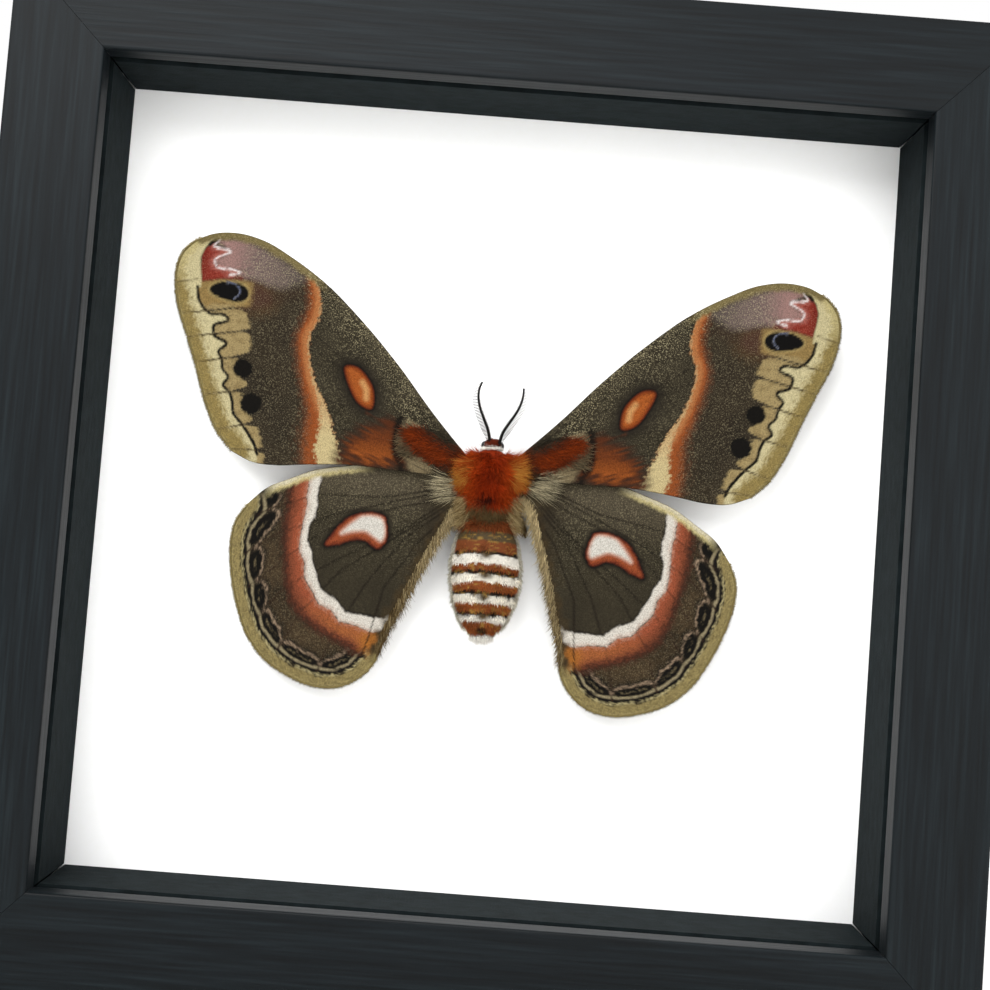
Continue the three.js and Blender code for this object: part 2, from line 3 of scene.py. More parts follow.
import bpy
import numpy as np
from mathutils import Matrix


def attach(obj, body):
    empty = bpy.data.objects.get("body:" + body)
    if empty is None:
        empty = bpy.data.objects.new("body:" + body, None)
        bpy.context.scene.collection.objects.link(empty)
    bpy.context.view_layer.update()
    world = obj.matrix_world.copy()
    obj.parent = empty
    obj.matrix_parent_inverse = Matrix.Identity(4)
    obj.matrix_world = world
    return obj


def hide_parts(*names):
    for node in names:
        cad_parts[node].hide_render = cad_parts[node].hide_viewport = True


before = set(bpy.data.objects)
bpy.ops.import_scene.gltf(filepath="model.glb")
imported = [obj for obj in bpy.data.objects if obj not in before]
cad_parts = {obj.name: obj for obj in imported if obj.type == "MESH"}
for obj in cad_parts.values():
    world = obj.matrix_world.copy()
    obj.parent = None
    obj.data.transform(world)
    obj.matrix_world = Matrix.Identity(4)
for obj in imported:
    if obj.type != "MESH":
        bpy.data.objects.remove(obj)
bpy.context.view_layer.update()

# The four mouldings: black-stained pine, mitred at the corners, glued into a square shadow box.
# Their front lip frames the opening; a pane would slide in the slot between the lip and the spacers.
# The top one has a shallow pocket in its back for the hanger.
MM = 0.001
FRAME_CENTRE = 101.6
ARRIS = 0.6
MITRE_GAP = 0.05
PAINT_LEVEL = 0.53
MOULDING = [
    (82.55, -16.0), (101.6, -16.0), (101.6, 16.0), (88.9, 16.0), (88.9, -11.5), (82.55, -11.5),
]
CORNER_STEPS = 5
CAP_POLE = (95.0, -13.7)
BACK_EDGE = 3 * CORNER_STEPS - 1
HANGER_RIM = np.array([(-23.5, 99.75), (-23.5, 90.75), (23.5, 90.75), (23.5, 99.75)])
HANGER_DEPTHS = (16.0, 14.4)


def linear(code):
    """A web colour as linear red, green and blue."""
    parts = np.array([int(code[k : k + 2], 16) for k in (0, 2, 4)]) / 255
    return np.where(parts <= 0.04045, parts / 12.92, ((parts + 0.055) / 1.055) ** 2.4)


def add(mat, kind, sockets, **settings):
    """Adds a node; each named socket takes a value or another node's output."""
    made = mat.node_tree.nodes.new(kind)
    for key, value in settings.items():
        setattr(made, key, value)
    for key, value in sockets.items():
        if isinstance(value, bpy.types.NodeSocket):
            mat.node_tree.links.new(value, made.inputs[key])
        else:
            made.inputs[key].default_value = value
    return made


def ramp(mat, factor, stops):
    """A colour ramp from (position, web colour) pairs."""
    made = add(mat, "ShaderNodeValToRGB", {"Fac": factor})
    while len(made.color_ramp.elements) < len(stops):
        made.color_ramp.elements.new(0.5)
    for element, (position, code) in zip(made.color_ramp.elements, stops):
        element.position = position
        element.color = (*linear(code), 1)
    return made.outputs["Color"]


def noise_of(mat, scale, stretch=(1, 1, 1), detail=4.0):
    """Noise over the object's own coordinates, scale being its features per metre."""
    place = add(mat, "ShaderNodeTexCoord", {}).outputs["Object"]
    drawn = add(mat, "ShaderNodeMapping", {"Vector": place, "Scale": stretch}).outputs["Vector"]
    return add(mat, "ShaderNodeTexNoise", {"Vector": drawn, "Scale": scale, "Detail": detail}).outputs["Fac"]


def mottled(mat, dark, light, *grain, **more):
    """A dark colour passing into a light one over noise; the rest is as for noise_of."""
    return ramp(mat, noise_of(mat, *grain, **more), [(0.3, dark), (0.7, light)])


def darkened(mat, amount, colour, shade):
    """A colour multiplied by another as far as the amount goes."""
    sockets = {0: amount, 6: colour, 7: shade}
    return add(mat, "ShaderNodeMix", sockets, data_type="RGBA", blend_type="MULTIPLY").outputs[2]


def finish_of(name, colour, roughness, bump=None, specular=0.5, depth=0.0001, metallic=0.0, strength=0.6):
    """A Principled material whose colour and bump come from functions that build its nodes."""
    mat = bpy.data.materials.new(name)
    mat.use_nodes = True
    surface = mat.node_tree.nodes["Principled BSDF"]
    mat.node_tree.links.new(colour(mat), surface.inputs["Base Color"])
    surface.inputs["Roughness"].default_value = roughness
    surface.inputs["Specular IOR Level"].default_value = specular
    surface.inputs["Metallic"].default_value = metallic
    if bump:
        relief = add(mat, "ShaderNodeBump", {"Height": bump(mat), "Strength": strength, "Distance": depth})
        mat.node_tree.links.new(relief.outputs["Normal"], surface.inputs["Normal"])
    return mat


def piece(name, points, faces, mat, nodes=(), height=0.0, smooth=True, tint=None):
    """A closed mesh from points in millimetres, turned inside out if its volume comes out negative."""
    points = np.asarray(points, float) + (0.0, 0.0, height)
    volume = 0.0
    for group in faces:
        corner = points[group] - points.mean(axis=0)
        for k in range(1, group.shape[1] - 1):
            volume += np.sum(corner[:, 0] * np.cross(corner[:, k], corner[:, k + 1]))
    if volume < 0:
        faces = [group[:, ::-1] for group in faces]
    loops = np.concatenate([group.ravel() for group in faces])
    sizes = np.concatenate([np.full(len(group), group.shape[1]) for group in faces])
    mesh = bpy.data.meshes.new(name)
    mesh.vertices.add(len(points))
    mesh.vertices.foreach_set("co", (points * MM).astype(np.float32).ravel())
    mesh.loops.add(len(loops))
    mesh.loops.foreach_set("vertex_index", loops.astype(np.int32))
    mesh.polygons.add(len(sizes))
    mesh.polygons.foreach_set("loop_start", (np.cumsum(sizes) - sizes).astype(np.int32))
    mesh.polygons.foreach_set("use_smooth", np.full(len(sizes), smooth))
    mesh.update(calc_edges=True)
    if tint is not None:
        painted = mesh.attributes.new("Tint", "FLOAT_COLOR", "POINT")
        shown = np.c_[PAINT_LEVEL * tint, np.ones(len(tint))]
        painted.data.foreach_set("color", shown.astype(np.float32).ravel())
    mesh.materials.append(mat)
    made = bpy.data.objects.new(name, mesh)
    bpy.context.collection.objects.link(made)
    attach(made, "root")
    if nodes:
        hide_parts(*nodes)
    return made


def rings(count, sides):
    """Quads between rings of points, with a fan to a pole at each end: the poles come after the rings."""
    start = np.arange(count - 1)[:, None] * sides
    near = np.arange(sides)[None, :]
    after = (near + 1) % sides
    quads = np.stack([start + near, start + after, start + sides + after, start + sides + near], axis=-1)
    head = count * sides
    last = head - sides
    fan = np.stack([np.full(sides, head), after[0], near[0]], axis=-1)
    tail = np.stack([np.full(sides, head + 1), last + near[0], last + after[0]], axis=-1)
    return [quads.reshape(-1, 4), np.concatenate([fan, tail])]


def rounded(corners, radius):
    """A closed outline whose corners are eased by a parabola from side to side."""
    corners = np.asarray(corners, float)
    made = []
    for before, here, after in zip(np.roll(corners, 1, 0), corners, np.roll(corners, -1, 0)):
        back = radius * (before - here) / np.linalg.norm(before - here)
        on = radius * (after - here) / np.linalg.norm(after - here)
        for t in np.linspace(0, 1, CORNER_STEPS):
            made.append(here + back * (1 - t) ** 2 + on * t**2)
    return np.array(made)


def wood(name, stretch):
    """Black stain over grain lines drawn out along the bar, a little paler where the grain stands up."""

    def colour(mat):
        """Fine grain under a broad, faint wash."""
        broad = noise_of(mat, 260.0, stretch, 2.0)
        fine = noise_of(mat, 1300.0, stretch, 5.0)
        stain = ramp(mat, fine, [(0.32, "080c0e"), (0.55, "0e1417"), (0.75, "161d20")])
        wash = ramp(mat, broad, [(0.35, "c4c8cc"), (0.7, "ffffff")])
        return darkened(mat, 0.7, stain, wash)

    return finish_of(name, colour, 0.46, lambda mat: noise_of(mat, 1300.0, stretch, 6.0), 0.12)


rail_wood = wood("RailWood", (0.035, 1.0, 1.0))
stile_wood = wood("StileWood", (1.0, 1.0, 0.035))
profile = rounded(MOULDING, ARRIS)
sides = len(profile)
pole_out, pole_deep = CAP_POLE
pole_run = pole_out - MITRE_GAP
run = profile[:, 0] - MITRE_GAP
along = np.concatenate([-run, run, [-pole_run, pole_run]])
outward = np.concatenate([profile[:, 0], profile[:, 0], [pole_out, pole_out]])
deep = np.concatenate([profile[:, 1], profile[:, 1], [pole_deep, pole_deep]])
for node, axis, sign in (
    ("rail_top", 0, 1), ("rail_bottom", 0, -1), ("stile_left", 1, -1), ("stile_right", 1, 1),
):
    x, z = (along, sign * outward) if axis == 0 else (sign * outward, along)
    bar = np.stack([x, deep, z + FRAME_CENTRE], axis=1)
    faces = rings(2, sides)
    if node == "rail_top":
        edge = np.array([BACK_EDGE, BACK_EDGE + 1, sides + BACK_EDGE + 1, sides + BACK_EDGE])
        lip = len(bar) + np.arange(4)
        bed = lip + 4
        on = np.roll(np.arange(4), -1)
        hollow = [np.insert(HANGER_RIM + (0, FRAME_CENTRE), 1, y, axis=1) for y in HANGER_DEPTHS]
        bar = np.concatenate([bar] + hollow)
        around = np.stack([edge, edge[on], lip[on], lip], axis=1)
        walls = np.stack([lip, lip[on], bed[on], bed], axis=1)
        faces[0] = np.concatenate([faces[0][faces[0][:, 0] != BACK_EDGE], around, walls, bed[None]])
    piece(
        node.title().replace("_", ""), bar, faces, rail_wood if axis == 0 else stile_wood,
        (node,), smooth=False,
    )

# The spacers: four dark matt strips round the inside of the box, which hold the board back from the lip.
# They show as the side walls of the case, fuzzy with the fibres of the strip's cut face.


def painted_node(node, mat):
    """Gives a plain CAD piece its finish."""
    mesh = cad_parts[node].data
    mesh.materials.clear()
    mesh.materials.append(mat)


spacer_board = finish_of(
    "SpacerBoard",
    lambda mat: mottled(mat, "0f1516", "192022", 700.0, (0.4, 1.0, 0.4)),
    0.85, lambda mat: noise_of(mat, 2600.0), 0.08,
)
for side in ("top", "bottom", "left", "right"):
    painted_node("spacer_" + side, spacer_board)

# The mount board is smooth white card, the moth's ground; the back panel is brown hardboard behind it.
# Steel points driven into the rabbet hold both in, and a toothed steel strip hangs the case on a nail.
painted_node(
    "mount_board",
    finish_of(
        "WhiteBoard",
        lambda mat: mottled(mat, "fefefd", "ffffff", 900.0),
        0.9, lambda mat: noise_of(mat, 3000.0), 0.1, 0.00002,
    ),
)
painted_node(
    "back_panel",
    finish_of(
        "BrownPanel",
        lambda mat: mottled(mat, "4c3320", "8a6444", 1500.0, detail=8.0),
        0.7, lambda mat: noise_of(mat, 1500.0), 0.3,
    ),
)
steel = finish_of(
    "BrightSteel",
    lambda mat: mottled(mat, "a9adb2", "d5d8dc", 600.0, (1.0, 1.0, 8.0)),
    0.32, metallic=1.0,
)
for node in ("point_top", "point_bottom", "point_left", "point_right", "hanger"):
    painted_node(node, steel)
painted_node(
    "mount_block",
    finish_of(
        "WhiteFoam",
        lambda mat: mottled(mat, "e2dfd8", "f6f4ef", 2500.0),
        0.9, lambda mat: noise_of(mat, 2500.0),
    ),
)

# The body's skin: one closed shell from the head through the cream collar and the thorax to the tail.
# It lies under the fur by the fur's depth and is painted with the same bands the fur carries, darkened as
# painted shade beneath the hair.
BODY = [
    (12.1, 0.25, 0.25), (11.95, 0.8, 0.9), (11.5, 1.25, 1.45), (10.9, 1.5, 1.75), (10.4, 1.6, 1.85),
    (9.9, 2.0, 2.1), (9.3, 2.8, 2.5), (8.5, 3.8, 3.1), (7.2, 4.3, 3.7), (5.4, 4.6, 4.1),
    (3.0, 4.6, 4.2), (0.4, 4.3, 3.9), (-2.0, 3.9, 3.4), (-3.4, 3.8, 3.0), (-4.6, 4.4, 3.2),
    (-6.4, 5.3, 3.9), (-9.5, 6.3, 4.7), (-12.6, 6.9, 5.2), (-16.0, 7.05, 5.3), (-19.5, 6.6, 5.0),
    (-22.5, 5.7, 4.4), (-25.0, 4.6, 3.6), (-27.0, 3.2, 2.6), (-28.4, 1.7, 1.4), (-29.0, 0.3, 0.25),
]
BODY_RINGS = 230
BODY_SIDES = 72
# Painted shade: the skin's colours are taken at three quarters, for the shade beneath the fur.
SKIN_PAINTED_SHADE = 0.75
LATTICE = 128
ABDOMEN_RINGS = [-3.6, -7.2, -11.2, -15.2, -19.3, -23.4, -27.2, -29.4]
BANDS = [
    (-3.2, "6a5434"), (-4.1, "8e4a24"), (-6.6, "66553a"), (-8.4, "94512a"), (-10.6, "241a12"),
    (-11.2, "fff8ea"), (-13.1, "a0552a"), (-14.4, "241a12"), (-15.3, "fdf5e4"), (-16.9, "a4592b"),
    (-18.7, "241a12"), (-19.5, "fdf5e4"), (-21.1, "aa5c2d"), (-22.9, "2a1c12"), (-23.6, "fff8ea"),
    (-24.9, "a65a2c"), (-27.7, "fffdf6"),
]


def curve(points, count):
    """Evenly spaced points on the smooth curve through the given ones; slopes come from the neighbours."""
    points = np.asarray(points, float)
    at = np.concatenate([[0], np.cumsum(np.linalg.norm(np.diff(points, axis=0), axis=1))])
    slope = np.gradient(points, at, axis=0)
    fine = np.linspace(0, at[-1], count * 6)
    k = np.clip(np.searchsorted(at, fine, side="right") - 1, 0, len(at) - 2)
    span = (at[k + 1] - at[k])[:, None]
    u = (fine - at[k])[:, None] / span
    made = (2 * u**3 - 3 * u**2 + 1) * points[k] + (u**3 - 2 * u**2 + u) * span * slope[k]
    made += (3 * u**2 - 2 * u**3) * points[k + 1] + (u**3 - u**2) * span * slope[k + 1]
    run = np.concatenate([[0], np.cumsum(np.linalg.norm(np.diff(made, axis=0), axis=1))])
    even = np.linspace(0, run[-1], count)
    return np.stack([np.interp(even, run, column) for column in made.T], axis=1)


def value_noise(points, size, seed):
    """Smooth noise from -1 to 1: random values on a lattice of that size, blended between its corners."""
    lattice = np.random.default_rng(seed).uniform(-1, 1, (LATTICE, LATTICE))
    cell = np.floor(points / size).astype(int)
    part = points / size - cell
    part = part * part * (3 - 2 * part)
    i, j = cell[..., 0] % LATTICE, cell[..., 1] % LATTICE
    u, v = part[..., 0], part[..., 1]
    low = lattice[i, j] * (1 - u) + lattice[(i + 1) % LATTICE, j] * u
    high = lattice[i, (j + 1) % LATTICE] * (1 - u) + lattice[(i + 1) % LATTICE, (j + 1) % LATTICE] * u
    return low * (1 - v) + high * v


def unit(vectors):
    """Vectors brought to length one."""
    return vectors / np.maximum(np.linalg.norm(vectors, axis=-1, keepdims=True), 1e-9)


def share(amount):
    """An amount held between 0 and 1."""
    return np.clip(amount, 0, 1)


def lay(colours, code, mask):
    """Lays a colour over the painted ones as far as the mask goes from 0 to 1."""
    colours += (linear(code) - colours) * share(mask)[:, None]


body_curve = curve(BODY, 400)[::-1]


def body_middle(height):
    """How far the body's middle line stands to the right, which grows down the abdomen."""
    return np.clip(-0.032 * height, 0, 0.6)


def on_body(height, turn):
    """A point of the skin and its outward direction; turn is 0 facing the viewer and grows to the right."""
    width, deep = (np.interp(height, body_curve[:, 0], body_curve[:, k]) for k in (1, 2))
    slopes = [np.gradient(body_curve[:, k], body_curve[:, 0]) for k in (1, 2)]
    wide_slope, deep_slope = (np.interp(height, body_curve[:, 0], s) for s in slopes)
    swell = 0.0
    for ring, following in zip(ABDOMEN_RINGS[:-1], ABDOMEN_RINGS[1:]):
        t = np.clip((height - following) / (ring - following), 0, 1)
        swell = swell + 0.22 * np.sin(math.pi * t) ** 0.6 * (ring < -4)
    centre = np.interp(height, [-29.4, -6, 0, 9, 12], [-0.9, -1.0, -1.4, -1.5, -1.6])
    swell = np.minimum(swell, width * 0.1)
    point = np.stack([
        body_middle(height) + (width + swell) * np.sin(turn), centre - (deep + swell) * np.cos(turn),
        height + 0 * turn,
    ], axis=-1)
    lean = -(np.sin(turn) ** 2) * wide_slope / width - np.cos(turn) ** 2 * deep_slope / deep
    return point, unit(np.stack([np.sin(turn) / width, -np.cos(turn) / deep, np.clip(lean, -2, 2)], axis=-1))


def body_colour(points):
    """The body's bands and patches at points in millimetres: red thorax, cream collar, banded abdomen."""
    x, y, z = points.T
    middle = body_middle(z)
    out = np.abs(x - middle)
    frayed = z + 0.28 * value_noise(points[:, [0, 2]], 0.7, 3) + 0.012 * out**2
    tint = np.tile(linear("b03606"), (len(points), 1))
    lay(tint, "c84c10", share((out - 1.2) / 1.8))
    lay(tint, "d4701f", share((out - 3.4) / 1.6) * share((z - 3.5) / 2.0) * share((8.4 - z) / 1.5))
    lay(tint, "e0a24a", share(1.1 - np.abs((z - 6.6) + 0.8 * (out - 3.2)) / 1.2) * share((out - 3.0) / 1.2))
    lay(tint, "30140a", share(2.0 - np.hypot(x + 0.5, (z - 0.6) * 1.5)) * 0.9)
    lay(tint, "7a6440", share((-0.4 - frayed) / 0.9))
    for top, code in BANDS:
        lay(tint, code, share((top - frayed) / 0.22))
    dorsal = np.exp(-(((x - middle) / 1.1) ** 2))
    for ring in (-11.5, -15.6, -19.9, -24.0):
        lay(tint, "5e4c30", dorsal * np.exp(-(((z - ring) / 0.7) ** 2)) * 1.2)
    lay(tint, "2a1a10", share(1.6 - out / 0.9) * share((z + 27.9) / 0.6) * share((-25.9 - z) / 0.8))
    flank = np.abs(np.sin(np.arctan2(x - middle, -(y + 0.9))))
    lay(tint, "efe6d0", share((flank - 0.955) / 0.03) * share((-8.5 - z) / 2.0))
    gold = share(value_noise(points[:, [0, 2]] * (0.6, 1.0), 0.4, 9) * 2.4 - 0.8) * (tint[:, 2] < 0.2)
    lay(tint, "c89c4c", gold * share((-6.2 - z) / 0.5) * 0.75)
    specks = share(value_noise(points[:, [0, 2]], 0.6, 10) * 2 - 1.2) * (tint[:, 2] > 0.5) * (z < -6)
    lay(tint, "241a12", specks * 0.6)
    arch = z + 0.08 * out**2
    lay(tint, "fffaf0", share((arch - 10.05) / 0.12) * share((2.7 - out) / 0.4))
    lay(tint, "6a2812", share((z - 10.55) / 0.12))
    return tint * (1 + 0.3 * share((tint[:, 2:] - 0.45) / 0.2))


def fur_colour(mat):
    """The painted colours, broken up by fine light and dark hairs."""
    tint = add(mat, "ShaderNodeAttribute", {}, attribute_name="Tint").outputs["Color"]
    grain = mottled(mat, "c8c8c8", "ffffff", 2600.0)
    return darkened(mat, 0.6, tint, grain)


fur = finish_of("Fur", fur_colour, 0.7, specular=0.08)
height = np.linspace(BODY[0][0], BODY[-1][0], BODY_RINGS)
turn = np.linspace(-math.pi, math.pi, BODY_SIDES, endpoint=False)
skin_points = on_body(height[:, None], turn[None, :])[0].reshape(-1, 3)
poles = [skin_points[:BODY_SIDES].mean(0) + (0, 0, 0.05), skin_points[-BODY_SIDES:].mean(0) - (0, 0, 0.05)]
skin_points = np.concatenate([skin_points, poles])
piece(
    "BodySkin", skin_points, rings(BODY_RINGS, BODY_SIDES), fur,
    ("head", "collar", "thorax", "abdomen"), FRAME_CENTRE, tint=body_colour(skin_points) * SKIN_PAINTED_SHADE,
)

# The thorax coat: long soft hair, deep red on the back and orange at the shoulders, combed towards the tail.
# It stands in matted locks, with gold tufts at the shoulders and tan ones beside the waist.
FUR_HAIRS = 12200
UNDER_HAIRS = 9000
WAIST_HAIRS = 7000
SHOULDER_HAIRS = 3000
TUFT_HAIRS = 1600
UV_EDGE = 0.004
UV_SPAN = 0.98
UNROLLED_LENGTH = 41.3
ROOT_SINK = 0.1


def hairs(name, roots, ways, lengths, widths, colours, places, seed, levels=2):
    """Hairs as three-sided tapering spikes: rings at equal steps along a bent path, then a tip."""
    rng = np.random.default_rng(seed)
    count = len(roots)
    ways = unit(ways)
    first = unit(np.cross(ways, unit(rng.normal(size=(count, 3)))))
    second = np.cross(ways, first)
    sway = 0.12 * rng.normal(size=(count, 3))
    steps = np.arange(levels + 1) / levels
    spots = roots[:, None] + lengths[:, None, None] * (
        ways[:, None] * steps[None, :, None] + sway[:, None] * steps[None, :, None] ** 2
    )
    corners = []
    for level in range(levels):
        wide = widths * (1 - 0.75 * steps[level] ** 1.5)
        for k in range(3):
            angle = 2 * math.pi * k / 3
            around = math.cos(angle) * first + math.sin(angle) * second
            corners.append(spots[:, level] + wide[:, None] * around)
    points = np.stack(corners + [spots[:, levels]], axis=1)
    each = levels * 3 + 1
    base = np.arange(count)[:, None] * each
    quads = [
        base + np.array([3 * s + k, 3 * s + (k + 1) % 3, 3 * s + 3 + (k + 1) % 3, 3 * s + 3 + k])
        for s in range(levels - 1) for k in range(3)
    ]
    top = levels * 3
    fans = [base + np.array([top - 3 + k, top - 3 + (k + 1) % 3, top]) for k in range(3)]
    faces = [np.concatenate(quads)] if quads else []
    faces.append(np.concatenate(fans + [base + np.array([2, 1, 0])]))
    # Painted shade and light: each hair is darker at the root, as shade down in the coat, and lighter at the
    # tip, as light on the coat's surface.
    shade = np.concatenate([np.repeat(0.8 + 0.5 * steps[:levels], 3), [1.35]])
    tint = (colours[:, None] * shade[None, :, None]).reshape(-1, 3)
    made = piece(name, points.reshape(-1, 3), faces, fur, (), FRAME_CENTRE, tint=tint)
    loops = np.zeros(len(made.data.loops), np.int32)
    made.data.loops.foreach_get("vertex_index", loops)
    spread = np.concatenate([np.repeat(np.arange(levels), 3), [levels]]) / levels
    side = np.concatenate([np.tile(np.arange(3), levels), [1]]) / 2
    patch = 0.003 * np.stack([side, spread], axis=1)[loops % each]
    layer = made.data.uv_layers.new(name="OFBake")
    layer.data.foreach_set("uv", (places[loops // each] + patch).astype(np.float32).ravel())


def body_place(height, turn):
    """The root's place on the unrolled skin: round the body, and down it."""
    round_body, down_body = turn / (2 * math.pi) + 0.5, (BODY[0][0] - height) / UNROLLED_LENGTH
    return UV_EDGE + UV_SPAN * np.stack([round_body, down_body], axis=1)


def body_hairs(name, count, top, low, ways, length, width, seed, levels=2, wild=0.18, shade=1.0):
    """Hair rooted all over the skin between two heights, thicker where the body is; ways gives its lie."""
    rng = np.random.default_rng(seed)
    tall = rng.uniform(low, top, count * 3)
    keep = rng.uniform(0, 7.3, count * 3) < np.interp(tall, body_curve[:, 0], body_curve[:, 1]) + 1.0
    tall = tall[keep][:count]
    around = rng.uniform(-math.pi, math.pi, len(tall))
    roots, normals = on_body(tall, around)
    lock = np.stack([value_noise(roots[:, [0, 2]] + 40 * k, 1.5, seed + k) for k in range(3)], axis=1)
    lie = ways(roots, normals) + 0.5 * lock + wild * rng.normal(size=roots.shape)
    size = rng.uniform(*length, len(tall))
    tone = shade * (1 + 0.34 * lock[:, :1] + 0.15 * rng.normal(size=(len(tall), 1)))
    colours = body_colour(roots) * np.clip(tone, 0.4, 1.7)
    hairs(
        name, roots - ROOT_SINK * normals, lie, size, rng.uniform(*width, len(tall)), colours,
        body_place(tall, around), seed, levels,
    )


def thorax_lie(roots, normals):
    """Back and outward, flatter along the midline, swept out at the shoulders and forward at the neck."""
    out = np.clip(roots[:, 0] / 4.5, -1, 1)
    neck = share((roots[:, 2] - 7.4) / 1.8)
    rise = -0.8 + 0.25 * np.abs(out) + (0.1 + 0.35 * np.abs(out)) * neck
    return 0.5 * normals + np.stack([0.5 * out, 0 * out, rise], axis=1)


body_hairs(
    "ThoraxCoat", FUR_HAIRS, 9.35, -1.6, thorax_lie, (1.7, 3.0), (0.045, 0.08), 11,
    levels=3,
)
# Painted shade: the undercoat, lying beneath the longer coat, is painted at 0.8 of its colour.
body_hairs(
    "ThoraxUnderCoat", UNDER_HAIRS, 9.3, -2.4, thorax_lie, (1.0, 1.9), (0.05, 0.09), 13,
    shade=0.8,
)


def waist_lie(roots, normals):
    """Long and loose, out and towards the tail."""
    return 0.6 * normals + np.array([0.0, 0.0, -0.85])


body_hairs(
    "WaistCoat", WAIST_HAIRS, -0.4, -5.6, waist_lie, (1.2, 2.8), (0.045, 0.08), 15,
    levels=3, wild=0.4,
)
for side, name in ((-1, "ShoulderTuftLeft"), (1, "ShoulderTuftRight")):
    rng = np.random.default_rng(20 + side)
    tall = rng.uniform(4.2, 7.4, SHOULDER_HAIRS)
    around = side * rng.uniform(0.75, 1.6, SHOULDER_HAIRS)
    roots, normals = on_body(tall, around)
    level = 7.6 if side < 0 else 6.2
    lie = 0.35 * normals + np.stack([side * 0.9 + 0 * tall, 0 * tall, (tall - level) * 0.6], axis=1)
    lie += 0.2 * rng.normal(size=roots.shape) + 0.6 * value_noise(roots[:, [0, 2]], 1.0, 23)[:, None]
    pale = np.clip(0.8 - np.abs(tall - 5.6) / 1.8 + 0.4 * rng.normal(size=SHOULDER_HAIRS), 0, 1)[:, None]
    colours = linear("b84a10") * (1 - pale) + linear("eca848") * pale
    hairs(
        name, roots, lie, rng.uniform(2.6, 4.8, SHOULDER_HAIRS), rng.uniform(0.04, 0.07, SHOULDER_HAIRS),
        colours, body_place(tall, around), 21 + side, 3,
    )
for side, name in ((-1, "WaistTuftLeft"), (1, "WaistTuftRight")):
    rng = np.random.default_rng(25 + side)
    tall = rng.uniform(-4.6, 1.2, TUFT_HAIRS)
    around = side * rng.uniform(0.95, 1.9, TUFT_HAIRS)
    roots, normals = on_body(tall, around)
    lie = 0.3 * normals + np.stack([side * 0.7 + 0 * tall, 0 * tall, -0.85 + 0 * tall], axis=1)
    lie += 0.2 * rng.normal(size=roots.shape)
    pale = rng.random((TUFT_HAIRS, 1))
    hairs(
        name, roots, lie, rng.uniform(2.2, 4.6, TUFT_HAIRS), rng.uniform(0.045, 0.08, TUFT_HAIRS),
        linear("6e5228") * (1 - pale) + linear("e2c890") * pale, body_place(tall, around),
        26 + side, 3,
    )

# The abdomen coat: short close scales and hair lying towards the tail, in orange, black and white bands.
# A white fringe runs along each flank, and the tip ends in a white brush.
ABDOMEN_HAIRS = 19000
BRUSH_HAIRS = 700
FLANK_HAIRS = 2600


def abdomen_lie(roots, normals):
    """Close to the skin, towards the tail."""
    return 0.32 * normals + np.array([0.0, 0.0, -1.0])


body_hairs(
    "AbdomenCoat", ABDOMEN_HAIRS, -3.6, -28.9, abdomen_lie, (0.5, 0.9), (0.05, 0.085), 31,
    wild=0.14, shade=1.12,
)
rng = np.random.default_rng(37)
tall = rng.uniform(-28.95, -28.0, BRUSH_HAIRS)
around = rng.uniform(-math.pi, math.pi, BRUSH_HAIRS)
roots, normals = on_body(tall, around)
hairs(
    "TailBrush", roots, 0.35 * normals + np.array([0, 0, -1.0]) + 0.15 * rng.normal(size=roots.shape),
    rng.uniform(0.8, 1.4, BRUSH_HAIRS), rng.uniform(0.05, 0.08, BRUSH_HAIRS),
    linear("fffaf0") * rng.uniform(1.3, 1.8, (BRUSH_HAIRS, 1)), body_place(tall, around), 37,
)
rng = np.random.default_rng(41)
tall = rng.uniform(-27.0, -3.6, FLANK_HAIRS)
around = rng.choice([-1, 1], FLANK_HAIRS) * rng.uniform(1.25, 1.9, FLANK_HAIRS)
roots, normals = on_body(tall, around)
dark = np.clip((tall + 9.0) / 4, 0, 1)[:, None]
colours = linear("f0e8d2") * (1 - dark) + linear("8c6f44") * dark
hairs(
    "FlankFringe", roots, 0.8 * normals + np.array([0, 0, -0.8]) + 0.2 * rng.normal(size=roots.shape),
    rng.uniform(0.6, 1.1, FLANK_HAIRS), rng.uniform(0.045, 0.07, FLANK_HAIRS),
    colours * rng.uniform(0.6, 1.1, (FLANK_HAIRS, 1)), body_place(tall, around), 41,
)

# The collar is a ruff of cream hair, and the head in front of it a small round knob of short red-brown fur.
# Both grow straight from the skin, shorter and closer than the thorax coat.
COLLAR_HAIRS = 1800
HEAD_HAIRS = 2600


def collar_lie(roots, normals):
    """Outward, fanning a little towards the tail."""
    return normals + np.array([0.0, 0.0, -0.1])


def head_lie(roots, normals):
    """Outward and forward."""
    return 0.9 * normals + np.array([0.0, 0.0, 0.45])


body_hairs(
    "CollarCoat", COLLAR_HAIRS, 10.5, 10.0, collar_lie, (0.5, 0.9), (0.05, 0.08), 51,
    wild=0.2,
)
body_hairs("HeadCoat", HEAD_HAIRS, 12.1, 10.55, head_lie, (0.4, 0.8), (0.05, 0.08), 53, wild=0.25)

